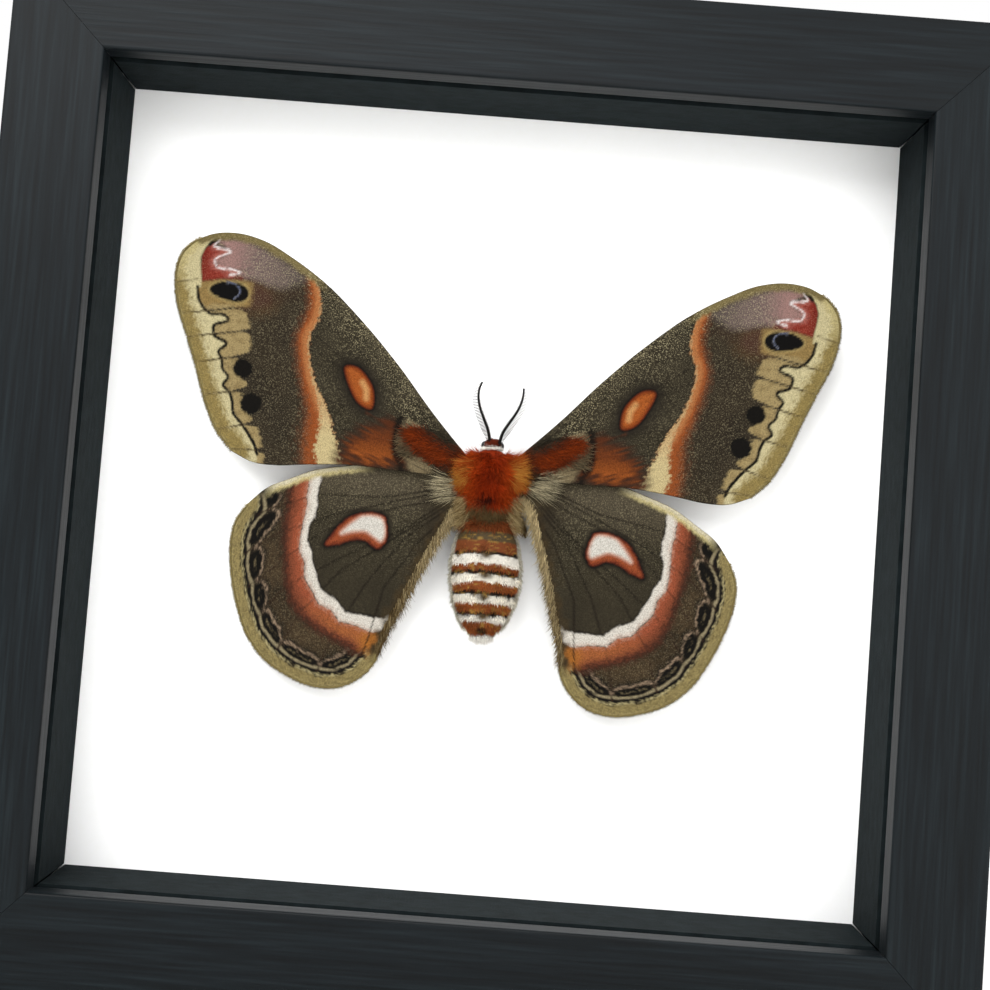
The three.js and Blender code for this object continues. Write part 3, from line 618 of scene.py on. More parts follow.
# The eyes are glossy black-brown domes on the sides of the head.
# Each is netted with facets far too small to see, so only a dull bloom shows.
EYE_RADII = np.array([0.7866, 0.874, 0.874])
EYE_PLACE = np.array([1.6, -1.3, 11.05])
EYE_RINGS = 24
EYE_SIDES = 40
eye_mat = finish_of(
    "Eye",
    lambda mat: mottled(mat, "0c0a09", "231c18", 4000.0),
    0.22, lambda mat: noise_of(mat, 9000.0), 0.6, 0.00002,
)
for side, name in ((-1, "left"), (1, "right")):
    fall = np.linspace(0, math.pi, EYE_RINGS + 2)[1:-1, None]
    round_way = np.linspace(0, 2 * math.pi, EYE_SIDES, endpoint=False)[None, :]
    ball = np.stack([
        np.sin(fall) * np.cos(round_way), np.sin(fall) * np.sin(round_way), np.cos(fall) + 0 * round_way,
    ], axis=-1).reshape(-1, 3)
    ball = np.concatenate([ball, [[0, 0, 1], [0, 0, -1]]]) * EYE_RADII + EYE_PLACE * (side, 1, 1)
    piece(
        "Eye" + name.title(), ball, rings(EYE_RINGS, EYE_SIDES), eye_mat, ("eye_" + name,),
        FRAME_CENTRE,
    )

# The antennae are black-brown feathers: a tapering shaft with four rows of fine side hairs, two to a side.
# They spring from beside the eyes, ahead of the forewings, the left one bowed and the right one leaning out.
ANTENNA_ROUTES = {
    "left": [
        (-0.5, -2.7, 11.2), (-1.2, -3.0, 14.0), (-2.4, -3.0, 16.7), (-3.3, -3.0, 18.9),
        (-3.7, -3.0, 21.0), (-3.6, -3.0, 22.5), (-3.1, -3.0, 23.9),
    ],
    "right": [
        (1.2, -2.7, 11.0), (1.9, -3.0, 13.7), (3.1, -3.0, 15.9), (4.3, -3.0, 17.9),
        (5.1, -3.0, 19.8), (5.5, -3.0, 21.7), (5.5, -3.0, 23.2),
    ],
}
SHAFT_STEPS = 60
SHAFT_SIDES = 10
RAMI = 42
RAMUS_REACH = 1.5
antenna_mat = finish_of(
    "AntennaBlack",
    lambda mat: mottled(mat, "060504", "110d0a", 3000.0),
    0.7, None, 0.1,
)


def tube(route, radii, sides):
    """Rings of points round a route, each at its own radius, closed to a pole at each end."""
    route = np.asarray(route, float)
    way = unit(np.gradient(route, axis=0))
    first = unit(np.cross(way, [0.31, -0.92, 0.24]))
    second = np.cross(way, first)
    angle = np.linspace(0, 2 * math.pi, sides, endpoint=False)[None, :, None]
    ring = route[:, None] + np.asarray(radii)[:, None, None] * (
        np.cos(angle) * first[:, None] + np.sin(angle) * second[:, None]
    )
    return np.concatenate([ring.reshape(-1, 3), route[:1] - way[:1] * 0.02, route[-1:] + way[-1:] * 0.02])


def joined(parts):
    """Several closed shells as one set of points and faces."""
    points = np.concatenate([p for p, f in parts])
    offsets = np.cumsum([0] + [len(p) for p, f in parts[:-1]])
    groups = {}
    for (p, faces), offset in zip(parts, offsets):
        for group in faces:
            groups.setdefault(group.shape[1], []).append(group + offset)
    return points, [np.concatenate(found) for found in groups.values()]


for name, knots in ANTENNA_ROUTES.items():
    shaft = curve(knots, SHAFT_STEPS)
    shaft_radii = np.linspace(0.34, 0.2, SHAFT_STEPS)
    parts = [(tube(shaft, shaft_radii, SHAFT_SIDES), rings(SHAFT_STEPS, SHAFT_SIDES))]
    tracks = np.concatenate([shaft, unit(np.gradient(shaft, axis=0))], axis=1).T
    outer = -1 if name == "left" else 1
    for spot in np.linspace(0.07, 0.985, RAMI):
        place = spot * (SHAFT_STEPS - 1)
        at = np.array([np.interp(place, np.arange(SHAFT_STEPS), track) for track in tracks])
        here, on = at[:3], at[3:]
        over = unit(np.cross(on, [0.0, -1.0, 0.0]))
        reach = RAMUS_REACH * min(1.0, 0.35 + 2.6 * spot, 0.3 + 2.4 * (1 - spot))
        for side, portion in ((outer, 1.0), (-outer, 0.4)):
            for sink, swing in ((0.1, 0.05), (0.9, 0.12)):
                t = np.linspace(0, 1, 5)[:, None]
                path = here + reach * portion * (
                    side * over * (t - 0.08 * t**2) * (1.0 - 0.1 * sink) + on * swing * t**1.4
                    + np.array([0.0, 1.0, 0.0]) * sink * 0.5 * t
                )
                parts.append((tube(path, 0.09 - 0.035 * t[:, 0], 4), rings(5, 4)))
    points, faces = joined(parts)
    piece(
        "Antenna" + name.title(), points, faces, antenna_mat, ("antenna_" + name,),
        FRAME_CENTRE,
    )

# The legs are short, furry and brown, folded under the thorax between the body and the board.
# Only their knees come out beyond the fur, seen from the side.
LEG_ROUTES = {
    "fore": [(1.6, 3.0, 7.0), (3.8, 4.1, 8.2), (5.6, 4.4, 7.0), (5.4, 4.8, 4.8)],
    "middle": [(1.8, 3.0, 3.6), (4.6, 4.1, 3.8), (6.6, 4.4, 1.6), (6.4, 4.8, -1.2)],
    "hind": [(1.6, 2.8, -0.6), (4.4, 4.1, -2.4), (7.0, 4.4, -4.0), (8.4, 4.8, -7.4)],
}
LEG_STEPS = 40
LEG_SIDES = 12
LEG_HAIRS = 700
leg_mat = finish_of(
    "LegBrown",
    lambda mat: mottled(mat, "3c3020", "665436", 2500.0),
    0.8, lambda mat: noise_of(mat, 5000.0), 0.3,
)
leg_roots, leg_ways, leg_places = [], [], []
for row, (pair, knots) in enumerate(LEG_ROUTES.items()):
    for side, name in ((-1, "left"), (1, "right")):
        route = curve(np.array(knots) * (side, 1, 1), LEG_STEPS)
        swell = np.interp(np.linspace(0, 3, LEG_STEPS), [0, 1, 2, 3], [0.7, 0.58, 0.44, 0.22])
        piece(
            "Leg" + pair.title() + name.title(), tube(route, swell, LEG_SIDES), rings(LEG_STEPS, LEG_SIDES),
            leg_mat, (f"leg_{pair}_{name}",), FRAME_CENTRE,
        )
        rng = np.random.default_rng(60 + row * 2 + side)
        spot = rng.integers(1, 36, LEG_HAIRS)
        way = unit(np.gradient(route, axis=0))[spot]
        off = unit(np.cross(way, rng.normal(size=(LEG_HAIRS, 3))))
        leg_roots.append(route[spot] + off * swell[spot][:, None] * 0.9)
        leg_ways.append(off * 0.6 + way)
        column = (row * 2 + (side > 0)) / 6
        down_leg = UV_EDGE + UV_SPAN * spot / LEG_STEPS
        leg_places.append(np.stack([column + 0.12 * rng.random(LEG_HAIRS), down_leg], axis=1))
leg_roots = np.concatenate(leg_roots)
rng = np.random.default_rng(67)
hairs(
    "LegCoat", leg_roots, np.concatenate(leg_ways), rng.uniform(0.6, 1.3, len(leg_roots)),
    rng.uniform(0.04, 0.07, len(leg_roots)),
    linear("8a6a42") * rng.uniform(0.7, 1.3, (len(leg_roots), 1)), np.concatenate(leg_places),
    67,
)

# The forewings: a scaled membrane on seven branching veins, dark grey-brown with a red patch at the root.
# Across it run a pale line backed with orange, then a mauve and tan border with a black eyespot at the tip.
WING_DROOP = 1.2
WING_REACH = 70.0
WING_GRID = (310, 132)
WING_REST = {"forewing": -2.4, "hindwing": -1.0}
WING_HALF = 0.1
VEIN_RISE = 0.1
VEIN_WIDTH = 0.28
THINNED_ROWS = 5
WING_TURNS = {
    "forewing_left": (-1, 1.3, (0.0, -0.45)),
    "forewing_right": (1, 1.3, (0.0, 0.45)),
    "hindwing_left": (-1, 4.5, (1.0, -1.7)),
    "hindwing_right": (1, 4.5, (1.1, 1.6)),
}
FORE_COSTA = [
    (3.6, 7.2), (5.9, 9.4), (13, 16.7), (21.2, 26), (30, 34.8), (38, 41.6), (45.5, 46.3), (51.7, 49.3),
    (57.5, 50.4), (62.4, 49.8), (64.8, 48.8),
]
FORE_MARGIN = [
    (53.6, 4.9), (57.3, 8.8), (60.2, 14.2), (63, 21.6), (65.6, 27.9), (68.2, 34), (69.2, 38.2), (69.4, 42.2),
    (68.6, 45.2), (66.1, 48), (64.8, 48.8),
]
FORE_INNER = [(3.6, 4.2), (7, 4.2), (18, 4.3), (30, 4.5), (38.5, 3.7), (44.3, 3), (49.3, 3.2), (53.6, 4.9)]
FORE_VEINS = [
    [(5, 7.5), (13, 15.2), (22, 22.5), (36, 33), (48.5, 39.6), (59, 41.3), (68.9, 39.1)],
    [(21, 19.5), (31.5, 25.5), (42, 32.6), (55.5, 34.8), (67.2, 32.6)],
    [(19, 16.5), (30.5, 23.4), (42, 28.7), (53.5, 30.1), (65.2, 27.9)],
    [(17, 12.5), (28.2, 18.4), (41.6, 23.4), (51.5, 25.4), (62.9, 22.7)],
    [(5, 6), (16, 10.6), (26.3, 15.4), (38, 18), (50, 18.5), (60.3, 16.2)],
    [(5, 5.6), (16, 8.8), (28, 11.6), (40, 12), (49, 11.4), (57.6, 9.2)],
    [(6, 5), (16, 6.1), (28, 6.9), (38, 6.6), (47, 5.8), (54.6, 5.5)],
]
LINE_INSIDE = [
    (31.3, 5.8), (32.5, 9.4), (34.5, 14.4), (36.3, 17.7), (37.8, 20.3), (39.3, 24.3), (40.1, 28.4), (40, 31),
    (38.8, 33.8), (38.3, 37), (39.1, 40.1), (40.6, 42.6),
]
LINE_OUTSIDE = [
    (37.4, 4.9), (37.8, 9.7), (38.4, 13.9), (40.1, 17.9), (41.6, 23.1), (42.6, 27.2), (42.8, 30.3),
    (41.7, 33.5), (40.9, 36.7), (41.4, 40.4), (42.2, 42.6),
]
SPOT = [(32.4, 24.3), (29.3, 24.7), (26, 20.9), (25.8, 16.5), (29.4, 18)]
WAVY = [
    (64.6, 38.5), (64, 35.9), (62.8, 34.1), (61.5, 33.2), (58.1, 32.9), (57.4, 32.2), (60.3, 30.5),
    (59.9, 28.6), (57.2, 27.1), (58.7, 25.3), (57.9, 23.9), (57.5, 21.9), (56.2, 20.2), (57, 18.5),
    (55.7, 17.2), (54.8, 15.3), (54.3, 13), (52.2, 10.7), (50.4, 8.5), (49.3, 6.9), (48.4, 4.8),
]
TAN_INSIDE = [
    (47, 4.6), (48.1, 8.2), (49.9, 11.5), (51.8, 13.8), (53, 16.7), (52, 19.3), (53.2, 20), (55.4, 22),
    (53.6, 24.4), (52.2, 25.7), (52.2, 28.3), (52.5, 31), (53.5, 32.7), (53.7, 34.8),
]
BLOTS = [(53.3, 22.3, 2.0), (50.9, 15.2, 2.2)]
EYESPOT = [
    (62, 38.4), (60.3, 39.7), (57.4, 40.1), (55.1, 39.6), (53.9, 38.4), (54.1, 36.7), (56.1, 35.9),
    (59.1, 36.4), (61.3, 37.2),
]
EYE_CRESCENT = [(58.7, 39.9), (56.7, 39.6), (55.6, 38.4), (55.9, 37.3), (56.8, 36.6)]
HALO = [
    (64.7, 38.5), (63.8, 40), (59, 40.6), (53, 40.2), (49.5, 38), (50, 36), (54, 35.2), (60, 35.2),
    (63.8, 34.4),
]
RED_PATCH = [
    (61.7, 48.7), (63.6, 46.9), (64.4, 44.7), (64.2, 42.6), (63.7, 39.9), (57.5, 41), (56, 42.2),
    (57.5, 42.6), (61.3, 43.3), (61.6, 44.1), (58.5, 46.4), (62, 47.4),
]
ZIGZAG = [
    (61.1, 48.6), (62, 47.4), (58.5, 46.4), (61.6, 44.1), (61.3, 43.3), (57.5, 42.6), (56, 42.2), (58, 41.5),
]
MAUVE = [
    (55.5, 48.8), (51.8, 47.9), (48.1, 46.3), (44.6, 44.6), (41.5, 42.8), (43.3, 40.7), (46.3, 39.4),
    (49.5, 39.7), (52.7, 40.6), (57.5, 41), (56, 42.2), (57.5, 42.6), (61.3, 43.3), (61.6, 44.1),
    (58.5, 46.4), (61, 48.4),
]
ROOT_RED = [(6.5, 8.4), (11.2, 11.7), (16.6, 13.8), (18.3, 11.8), (12.8, 7.2), (8.6, 6.2)]
ROOT_HAIR = [(15.6, 13.9), (18.8, 14.6), (18.9, 9.5), (16.5, 4.6), (12.2, 4.6), (14.6, 9)]
ROOT_RUFOUS = [(20.7, 13.7), (24.8, 13.3), (29.6, 9.7), (30.2, 5.5), (18.9, 5.4), (19.3, 9.7)]


def gap(points, line, closed=False):
    """Distance from each point to a line of joined points; inside a closed one it is negative."""
    line = np.asarray(line, float)
    starts = line if closed else line[:-1]
    ends = np.roll(line, -1, axis=0) if closed else line[1:]
    nearest = np.full(len(points), 1e9)
    inside = np.zeros(len(points), bool)
    for start, end in zip(starts, ends):
        step = end - start
        t = np.clip((points - start) @ step / (step @ step), 0, 1)
        nearest = np.minimum(nearest, np.linalg.norm(points - start - t[:, None] * step, axis=1))
        if closed and start[1] != end[1]:
            spans = (start[1] > points[:, 1]) != (end[1] > points[:, 1])
            inside ^= spans & (points[:, 0] < start[0] + (points[:, 1] - start[1]) * step[0] / step[1])
    return np.where(inside, -nearest, nearest)


def within(distance, soft=0.3):
    """1 where a distance is below zero, falling to 0 over the soft width."""
    return np.clip(0.5 - distance / soft, 0, 1)


def smooth_loop(corners, steps=8):
    """A closed outline rounded through its corners by cubics whose slopes follow the neighbouring corners."""
    here = np.asarray(corners, float)
    before, after, later = np.roll(here, 1, 0), np.roll(here, -1, 0), np.roll(here, -2, 0)
    t = np.linspace(0, 1, steps, endpoint=False)[None, :, None]
    made = here[:, None] + 0.5 * t * (after - before)[:, None]
    made = made + t**2 * (before - 2.5 * here + 2 * after - 0.5 * later)[:, None]
    made = made + t**3 * (1.5 * here - 1.5 * after + 0.5 * later - 0.5 * before)[:, None]
    return made.reshape(-1, 2)


def loop_gap(points, corners):
    """Distance to a rounded outline, negative inside it."""
    return gap(points, smooth_loop(corners), True)


def vein_gap(points, veins):
    """Distance to the nearest vein."""
    return np.min([gap(points, line) for line in veins], axis=0)


def line_at(b, line):
    """How far out along the wing a line lies at each height; its heights rise or fall all the way."""
    line = np.asarray(sorted(line, key=lambda corner: corner[1]), float)
    return np.interp(b, line[:, 1], line[:, 0])


def ragged(ab, seed):
    """How far painted edges stray, in millimetres, and a fine grain from -1 to 1."""
    fray = 0.2 * value_noise(ab, 0.7, seed) + 0.2 * value_noise(ab, 0.32, seed + 1)
    return fray, value_noise(ab, 0.27, seed + 2)


def fleck_share(tint, flecks, brightest, fade):
    """Flecks held to ground that is neither black nor brighter than the given level."""
    bright = tint.max(axis=1)
    return share(flecks) * share((bright - 0.012) / 0.01) * share((brightest - bright) / fade)


def forewing_paint(ab, margin):
    """The forewing's colours and the density of its pale flecks, at wing coordinates in millimetres."""
    a, b = ab.T
    fray, grain = ragged(ab, 1)
    broad = value_noise(ab, 5.0, 4)
    streak = value_noise(np.stack([a * 0.93 + b * 0.37, (b * 0.93 - a * 0.37) * 7], axis=1), 3.2, 5)
    costa = gap(ab, FORE_COSTA)
    vein = vein_gap(ab, FORE_VEINS)
    spot = loop_gap(ab, SPOT) - 0.25
    tint = np.tile(linear("322c20"), (len(ab), 1))
    lay(tint, "4a4333", 0.35 + 0.35 * broad + 0.4 * grain)
    lay(tint, "28231c", share(1 - spot / 3.2) * 0.75)
    lay(tint, "28221a", share((0.3 - vein) / 0.2) * 0.4)
    inside_a, outside_a = line_at(b, LINE_INSIDE), line_at(b, LINE_OUTSIDE)
    band = (a - inside_a) / (outside_a - inside_a) + 0.25 * fray + 0.12 * grain
    beyond = a - outside_a + fray
    low = share((17 - b) / 7)
    lay(tint, "3b3225", share(0.5 + beyond))
    lay(tint, "2e271e", share(0.5 + beyond) * share(0.35 + 0.5 * broad + 0.3 * grain))
    lay(tint, "6a3d25", share(1.0 - beyond / (1.6 + 2.2 * low) + 0.4 * grain) * share(beyond + 0.8) * 0.75)
    ring = loop_gap(ab, HALO)
    lay(tint, "5a4128", share(1 - ring / 3.5 + 0.3 * grain) * share(beyond) * 0.8)
    mauve = loop_gap(ab, MAUVE) + fray
    pinker = share((a - 42) / 14)
    lay(tint, "5c534b", within(mauve + 0.3, 2.2))
    lay(tint, "84706a", within(mauve + 0.3, 2.0) * share(1.5 * pinker + 0.3 * grain))
    lay(tint, "ac867e", within(mauve, 1.0) * share((a - 52) / 6 + 0.25 * broad + 0.3 * grain))
    lay(tint, "3c2b20", within(gap(ab, [(44, 39), (48, 37.6), (52, 36.4), (54, 35.2)]) - 1.0, 2.4) * 0.7)
    tan_edge = line_at(b, TAN_INSIDE) + 2.6 * np.exp(-((vein / 0.42) ** 2))
    tan = share(0.5 + (a - tan_edge + 1.3 * fray) / 0.6) * (b < 35.4)
    lay(tint, "b29c6c", tan)
    lay(tint, "8c764c", tan * share(0.15 + 0.5 * value_noise(ab, 1.0, 6) + 0.4 * grain))
    halo = ring + 0.6 * fray
    lay(tint, "52352a", within(halo - 0.3, 1.8) * share((a - 45.5) / 3) * share((55 - a) / 2 + 0.5) * 0.8)
    lay(tint, "a08450", within(halo, 0.9) * share((a - 52.4) / 1.4 + 0.4 * grain))
    eyespot = loop_gap(ab, EYESPOT)
    lay(tint, "b39c66", within(eyespot - 0.4, 0.6) * 0.8)
    lay(tint, "6b2a22", within(gap(ab, [(63.6, 40.1), (60, 40.7), (55.6, 41.0)]) - 0.4 + 0.5 * fray, 0.4))
    red = gap(ab, RED_PATCH, True) + 0.4 * fray
    lay(tint, "96372a", within(red))
    lay(tint, "c07a6c", within(red) * share(1.2 - gap(ab, ZIGZAG) / 1.3 + 0.3 * grain) * 0.8)
    lay(tint, "7c241c", within(red) * share((a - 62.3) / 2 + 0.3 * grain) * 0.8)
    cream_edge = np.interp(b, [39.9, 42.6, 44.7, 46.9, 48.7], [63.9, 64.4, 64.6, 63.8, 61.9])
    lay(tint, "dccf9f", share(0.5 + (a - cream_edge) / 0.4) * (b > 38.4))
    lay(tint, "fff2ee", within(gap(ab, curve(ZIGZAG, 60)) - 0.18 + 0.5 * fray, 0.34))
    lay(tint, "14110e", within(gap(ab, [(61.7, 48.5), (62.4, 48.1), (63.0, 47.4)]) - 0.4, 0.3))
    lay(tint, "0e0c0b", within(eyespot + 0.2 * fray, 0.3))
    lay(tint, "7c84a0", within(gap(ab, curve(EYE_CRESCENT, 30)) - 0.1 + 0.4 * fray, 0.28) * 0.85)
    for blot_a, blot_b, radius in BLOTS:
        lay(tint, "14110d", within(np.hypot(a - blot_a, b - blot_b) - radius + 0.6 * fray, 0.4))
    wavy_a = line_at(b, WAVY)
    lay(tint, "dccf9f", share(0.5 + (a - wavy_a) / 0.3) * (b < 39.0))
    lay(tint, "17130d", within(gap(ab, curve(WAVY, 150)) - 0.32 + 0.3 * fray, 0.28))
    olive = np.interp(b, [4, 10, 36, 44, 49], [3.4, 3.2, 2.7, 1.3, 0.5]) + 2 * fray + 0.4 * grain
    lay(tint, "a38e55", within(margin - olive, 1.5) * (a > 46) * (1 - 0.5 * share((b - 39) / 6)))
    lay(tint, "7d6c40", within(margin - olive, 1.2) * (a > 46) * share(0.1 + 0.8 * grain) * 0.8)
    lay(tint, "d8c88c", within(margin - olive - 0.5, 1.2) * share((b - 38) / 6) * (a > 58) * 0.8)
    lay(tint, "cbbb86", within(margin - 0.35 + fray, 0.4) * (a > 46) * 0.6)
    thread = share((0.26 - vein) / 0.2) * (a > 44)
    lay(tint, "2a2015", thread * tan * (margin > 3) * share((a + 1.5 - tan_edge) / 0.5))
    lay(tint, "5a4a2c", thread * within(margin - 8.5, 1.5) * (a > wavy_a) * 0.7)
    orange = share(0.5 + band / 0.12) * share((1.12 + 0.3 * low - band) / 0.42)
    lay(tint, "a05428", orange)
    lay(tint, "c4804c", orange * share((0.72 - band) / 0.3 + 0.35 * grain) * 0.85)
    cream = np.interp(b, [3, 8, 12, 16, 20, 26, 44], [0.75, 0.85, 0.6, 0.36, 0.2, 0.1, 0.06])
    lay(tint, "dcc893", share(0.5 + band / 0.08) * share(0.5 + (cream - band) / 0.16) * (0.55 + 0.45 * low))
    lay(tint, "1f1a14", within(np.abs(band + 0.06) * 5 - 0.3, 0.3) * (1 - low) * 0.4)
    lay(tint, "14110e", within(spot - 0.1 + 0.2 * fray, 0.5))
    lay(tint, "843816", within(spot + 0.35, 0.5))
    lay(tint, "b45f28", within(spot + 0.9, 0.9))
    lay(tint, "dca265", share(1.1 - gap(ab, [(27.2, 18.6), (27.4, 20.4), (28.3, 21.8)]) / 0.9))
    rufous = loop_gap(ab, ROOT_RUFOUS)
    lay(tint, "2a231b", share(0.9 - np.abs(rufous - 1.0) / 2.2 + 0.3 * streak) * (a < 34) * 0.5)
    lay(tint, "4a2a1a", share(0.8 - rufous / 2.6 + 0.4 * streak) * 0.85)
    lay(tint, "783c1a", share(0.1 - rufous / 2.2 + 0.7 * streak) * 0.85)
    lay(tint, "b05e26", share(-0.3 - rufous / 1.8 + 0.9 * streak) * share((10.5 - b) / 5) * 0.9)
    spur = gap(ab, [(26.4, 16.2), (23, 14.2), (19, 12.6)])
    lay(tint, "5a2e18", within(spur - 0.6 + fray, 0.9) * share(0.5 + streak))
    root_line = gap(ab, curve([(19.8, 15.2), (20.3, 9.6), (18.3, 3.9)], 20))
    lay(tint, "1a140e", within(root_line - 0.8 + fray, 0.8) * 0.9)
    lay(tint, "867658", within(loop_gap(ab, ROOT_HAIR) + fray, 1.0) * share(0.75 + 0.6 * streak))
    red_root = loop_gap(ab, ROOT_RED) + fray
    lay(tint, "722d0e", within(red_root, 1.2))
    lay(tint, "a2410f", within(red_root + 0.8, 1.6) * share(0.6 + 0.7 * streak))
    lay(tint, "6a2c10", within(a - 7.0 + 2 * fray, 2.0))
    lay(tint, "85764c", within(costa - 1.4 + fray, 0.8) * share((a - 37) / 3))
    lay(tint, "5c5440", within(costa - 1.3 + fray, 1.2) * (a > 10) * (a < 40) * share(0.3 + grain))
    flecks = share(0.2 + 0.7 * within(costa - 3.5, 9)) * (beyond < 0) * share((spot - 0.6) / 2)
    flecks = flecks * share((a - 8) / 5) * share(rufous / 2.5) * share(0.4 + costa / 3 + (a - 16) / 8)
    flecks = flecks + 0.24 * (beyond > 0) * (1 - tan) * within(3.5 - margin, 1)
    flecks = flecks + 0.35 * within(mauve, 1.5) + 0.4 * tan
    return tint, fleck_share(tint, flecks, 0.34, 0.1)


def sheet_grid(inner, top, root, margin, counts):
    """A grid between four edge curves: the two ruled surfaces' sum less the one through the four corners."""
    inner, top = curve(inner, counts[0]), curve(top, counts[0])
    root, margin = curve(root, counts[1]), curve(margin, counts[1])
    s = np.linspace(0, 1, counts[0])[:, None, None]
    t = np.linspace(0, 1, counts[1])[None, :, None]
    ruled = (1 - t) * inner[:, None] + t * top[:, None] + (1 - s) * root[None] + s * margin[None]
    corners = (1 - s) * ((1 - t) * inner[0] + t * top[0]) + s * ((1 - t) * inner[-1] + t * top[-1])
    return ruled - corners


def wing_y(ab, rest):
    """Depth of the wing's mid-surface: it droops towards the board with reach, and ripples a little."""
    a = ab[..., 0]
    ripple = 0.22 * value_noise(ab, 9.0, 8) * np.clip((a - 8) / 20, 0, 1)
    return rest + WING_DROOP * (a / WING_REACH) ** 2 + ripple


def placed(ab, y, node):
    """Shared wing coordinates on a real wing: mirrored to its side, turned about the body and moved."""
    side, degrees, shift = WING_TURNS[node]
    angle = math.radians(degrees)
    x, z = side * ab[..., 0], ab[..., 1]
    return np.stack([
        x * math.cos(angle) + z * math.sin(angle) + shift[0], y,
        z * math.cos(angle) - x * math.sin(angle) + shift[1],
    ], axis=-1)


def scale_colour(mat):
    """The painted colours, with pale flecks where the wing is peppered and darker scales all over."""
    tint = add(mat, "ShaderNodeAttribute", {}, attribute_name="Tint").outputs["Color"]
    amount = add(mat, "ShaderNodeAttribute", {}, attribute_name="Flecks").outputs["Fac"]
    dots = noise_of(mat, 4200.0, detail=2.0)
    limits = {"Value": dots, "From Min": 0.54, "From Max": 0.66}
    sharp = add(mat, "ShaderNodeMapRange", limits).outputs["Result"]
    mask = add(mat, "ShaderNodeMath", {0: sharp, 1: amount}, operation="MULTIPLY").outputs[0]
    pale = (*(linear("bcb08a") * PAINT_LEVEL), 1)
    flecked = add(mat, "ShaderNodeMix", {0: mask, 6: tint, 7: pale}, data_type="RGBA").outputs[2]
    shades = ramp(mat, noise_of(mat, 4200.0, detail=3.0), [(0.32, "a8a8a8"), (0.66, "ffffff")])
    return darkened(mat, 0.75, flecked, shades)


wing_scales = finish_of(
    "WingScales", scale_colour, 0.8, lambda mat: noise_of(mat, 3600.0), specular=0.06, strength=0.5,
)


def wing(node, grid, veins, painted):
    """A closed wing: upper and lower grids that share their rim, with raised veins on the upper one."""
    count, rows = grid.shape[:2]
    ab = grid.reshape(-1, 2)
    rim = np.zeros((count, rows), bool)
    rim[0] = rim[-1] = True
    rim[:, 0] = rim[:, -1] = True
    rim = rim.ravel()
    kind = node.split("_")[0]
    middle = wing_y(ab, WING_REST[kind])
    rise = VEIN_RISE * np.exp(-((vein_gap(ab, veins) / VEIN_WIDTH) ** 2))
    i, j = np.arange(count)[:, None], np.arange(rows)[None, :]
    inset = np.minimum(np.minimum(i, count - 1 - i), np.minimum(j, rows - 1 - j)).ravel()
    half = WING_HALF * share(inset / THINNED_ROWS)
    upper = placed(ab, middle - half - np.where(rim, 0, rise), node)
    lower = placed(ab, middle + half, node)
    index = np.arange(count * rows).reshape(count, rows)
    under = np.where(rim, index.ravel(), -1)
    under[~rim] = count * rows + np.arange((~rim).sum())
    under = under.reshape(count, rows)
    faces = []
    for order, flip in ((index, 1), (under, -1)):
        corners = [order[:-1, :-1], order[1:, :-1], order[1:, 1:], order[:-1, 1:]]
        quads = np.stack(corners, axis=-1).reshape(-1, 4)
        faces.append(quads[:, ::flip])
    tint, flecks = painted
    made = piece(
        node.title().replace("_", ""), np.concatenate([upper, lower[~rim]]), [np.concatenate(faces)],
        wing_scales, (node,), FRAME_CENTRE, tint=np.concatenate([tint, tint[~rim]]),
    )
    layer = made.data.attributes.new("Flecks", "FLOAT", "POINT")
    layer.data.foreach_set("value", np.concatenate([flecks, flecks[~rim]]).astype(np.float32))


def wing_pair(kind, inner, costa, bend, margin, veins, paint):
    """Both wings of a kind from one grid and one painting; bend is the middle of the edge at the root."""
    grid = sheet_grid(inner, costa, [inner[0], bend, costa[0]], margin, WING_GRID)
    ab = grid.reshape(-1, 2)
    painted = paint(ab, gap(ab, margin))
    for hand in ("_left", "_right"):
        wing(kind + hand, grid, veins, painted)


wing_pair("forewing", FORE_INNER, FORE_COSTA, (3.6, 5.7), FORE_MARGIN, FORE_VEINS, forewing_paint)

# The hindwings: rounder and darker, with a red-rimmed white crescent and a white line backed by orange.
# Their border is olive, cream and black, then tan loops with black hearts, one between each pair of veins.
HIND_COSTA = [
    (3.4, 4.2), (8, 5.3), (16, 6), (24, 5.5), (31, 4), (37.5, 2.1), (42.4, -0.5), (46.8, -3.1), (50.3, -7),
]
HIND_MARGIN = [
    (18.3, -32), (19.1, -35.2), (21.9, -39), (25.8, -41.4), (30.5, -42), (36.7, -40.5), (41.7, -38),
    (45.9, -33.9), (49.1, -28), (51.6, -20.5), (52.5, -15), (52.2, -11), (50.3, -7),
]
HIND_INNER = [
    (3.4, 0), (6.8, -1.4), (9.3, -6.5), (12, -13.2), (15, -21.6), (17.4, -28.3), (18.3, -32),
]
HIND_VEINS = [
    [(12, 1.9), (22.3, -1.3), (36.4, -2.9), (45, -7), (52.4, -12.5)],
    [(12, 1), (19.2, -1.4), (31.9, -6.4), (42, -11.4), (51.4, -19)],
    [(11, 0), (22, -4), (34.4, -10.6), (42, -18.2), (49, -26)],
    [(10.5, -1), (17, -6.8), (29, -14.8), (39.6, -22.5), (45.8, -31.6)],
    [(10, -1.6), (18, -8.4), (29, -17.6), (36, -27.6), (40, -37.6)],
    [(9.5, -2), (16.4, -8.4), (23, -18.6), (28.6, -31), (31, -40.6)],
    [(8.8, -3), (14, -9.2), (19.6, -19.6), (21.6, -33), (23.5, -38.6)],
]
WHITE_INSIDE = [
    (35.6, 3.2), (36, -0.4), (36.1, -3.1), (35.8, -5.1), (36, -7.7), (36.8, -9.5), (36.7, -12.6),
    (35.5, -14.5), (34.9, -16.8), (33.7, -19.3), (32.2, -22.2), (29.3, -23.4), (26.6, -25.9),
    (23.5, -25.8), (20.6, -26), (16, -25.6),
]
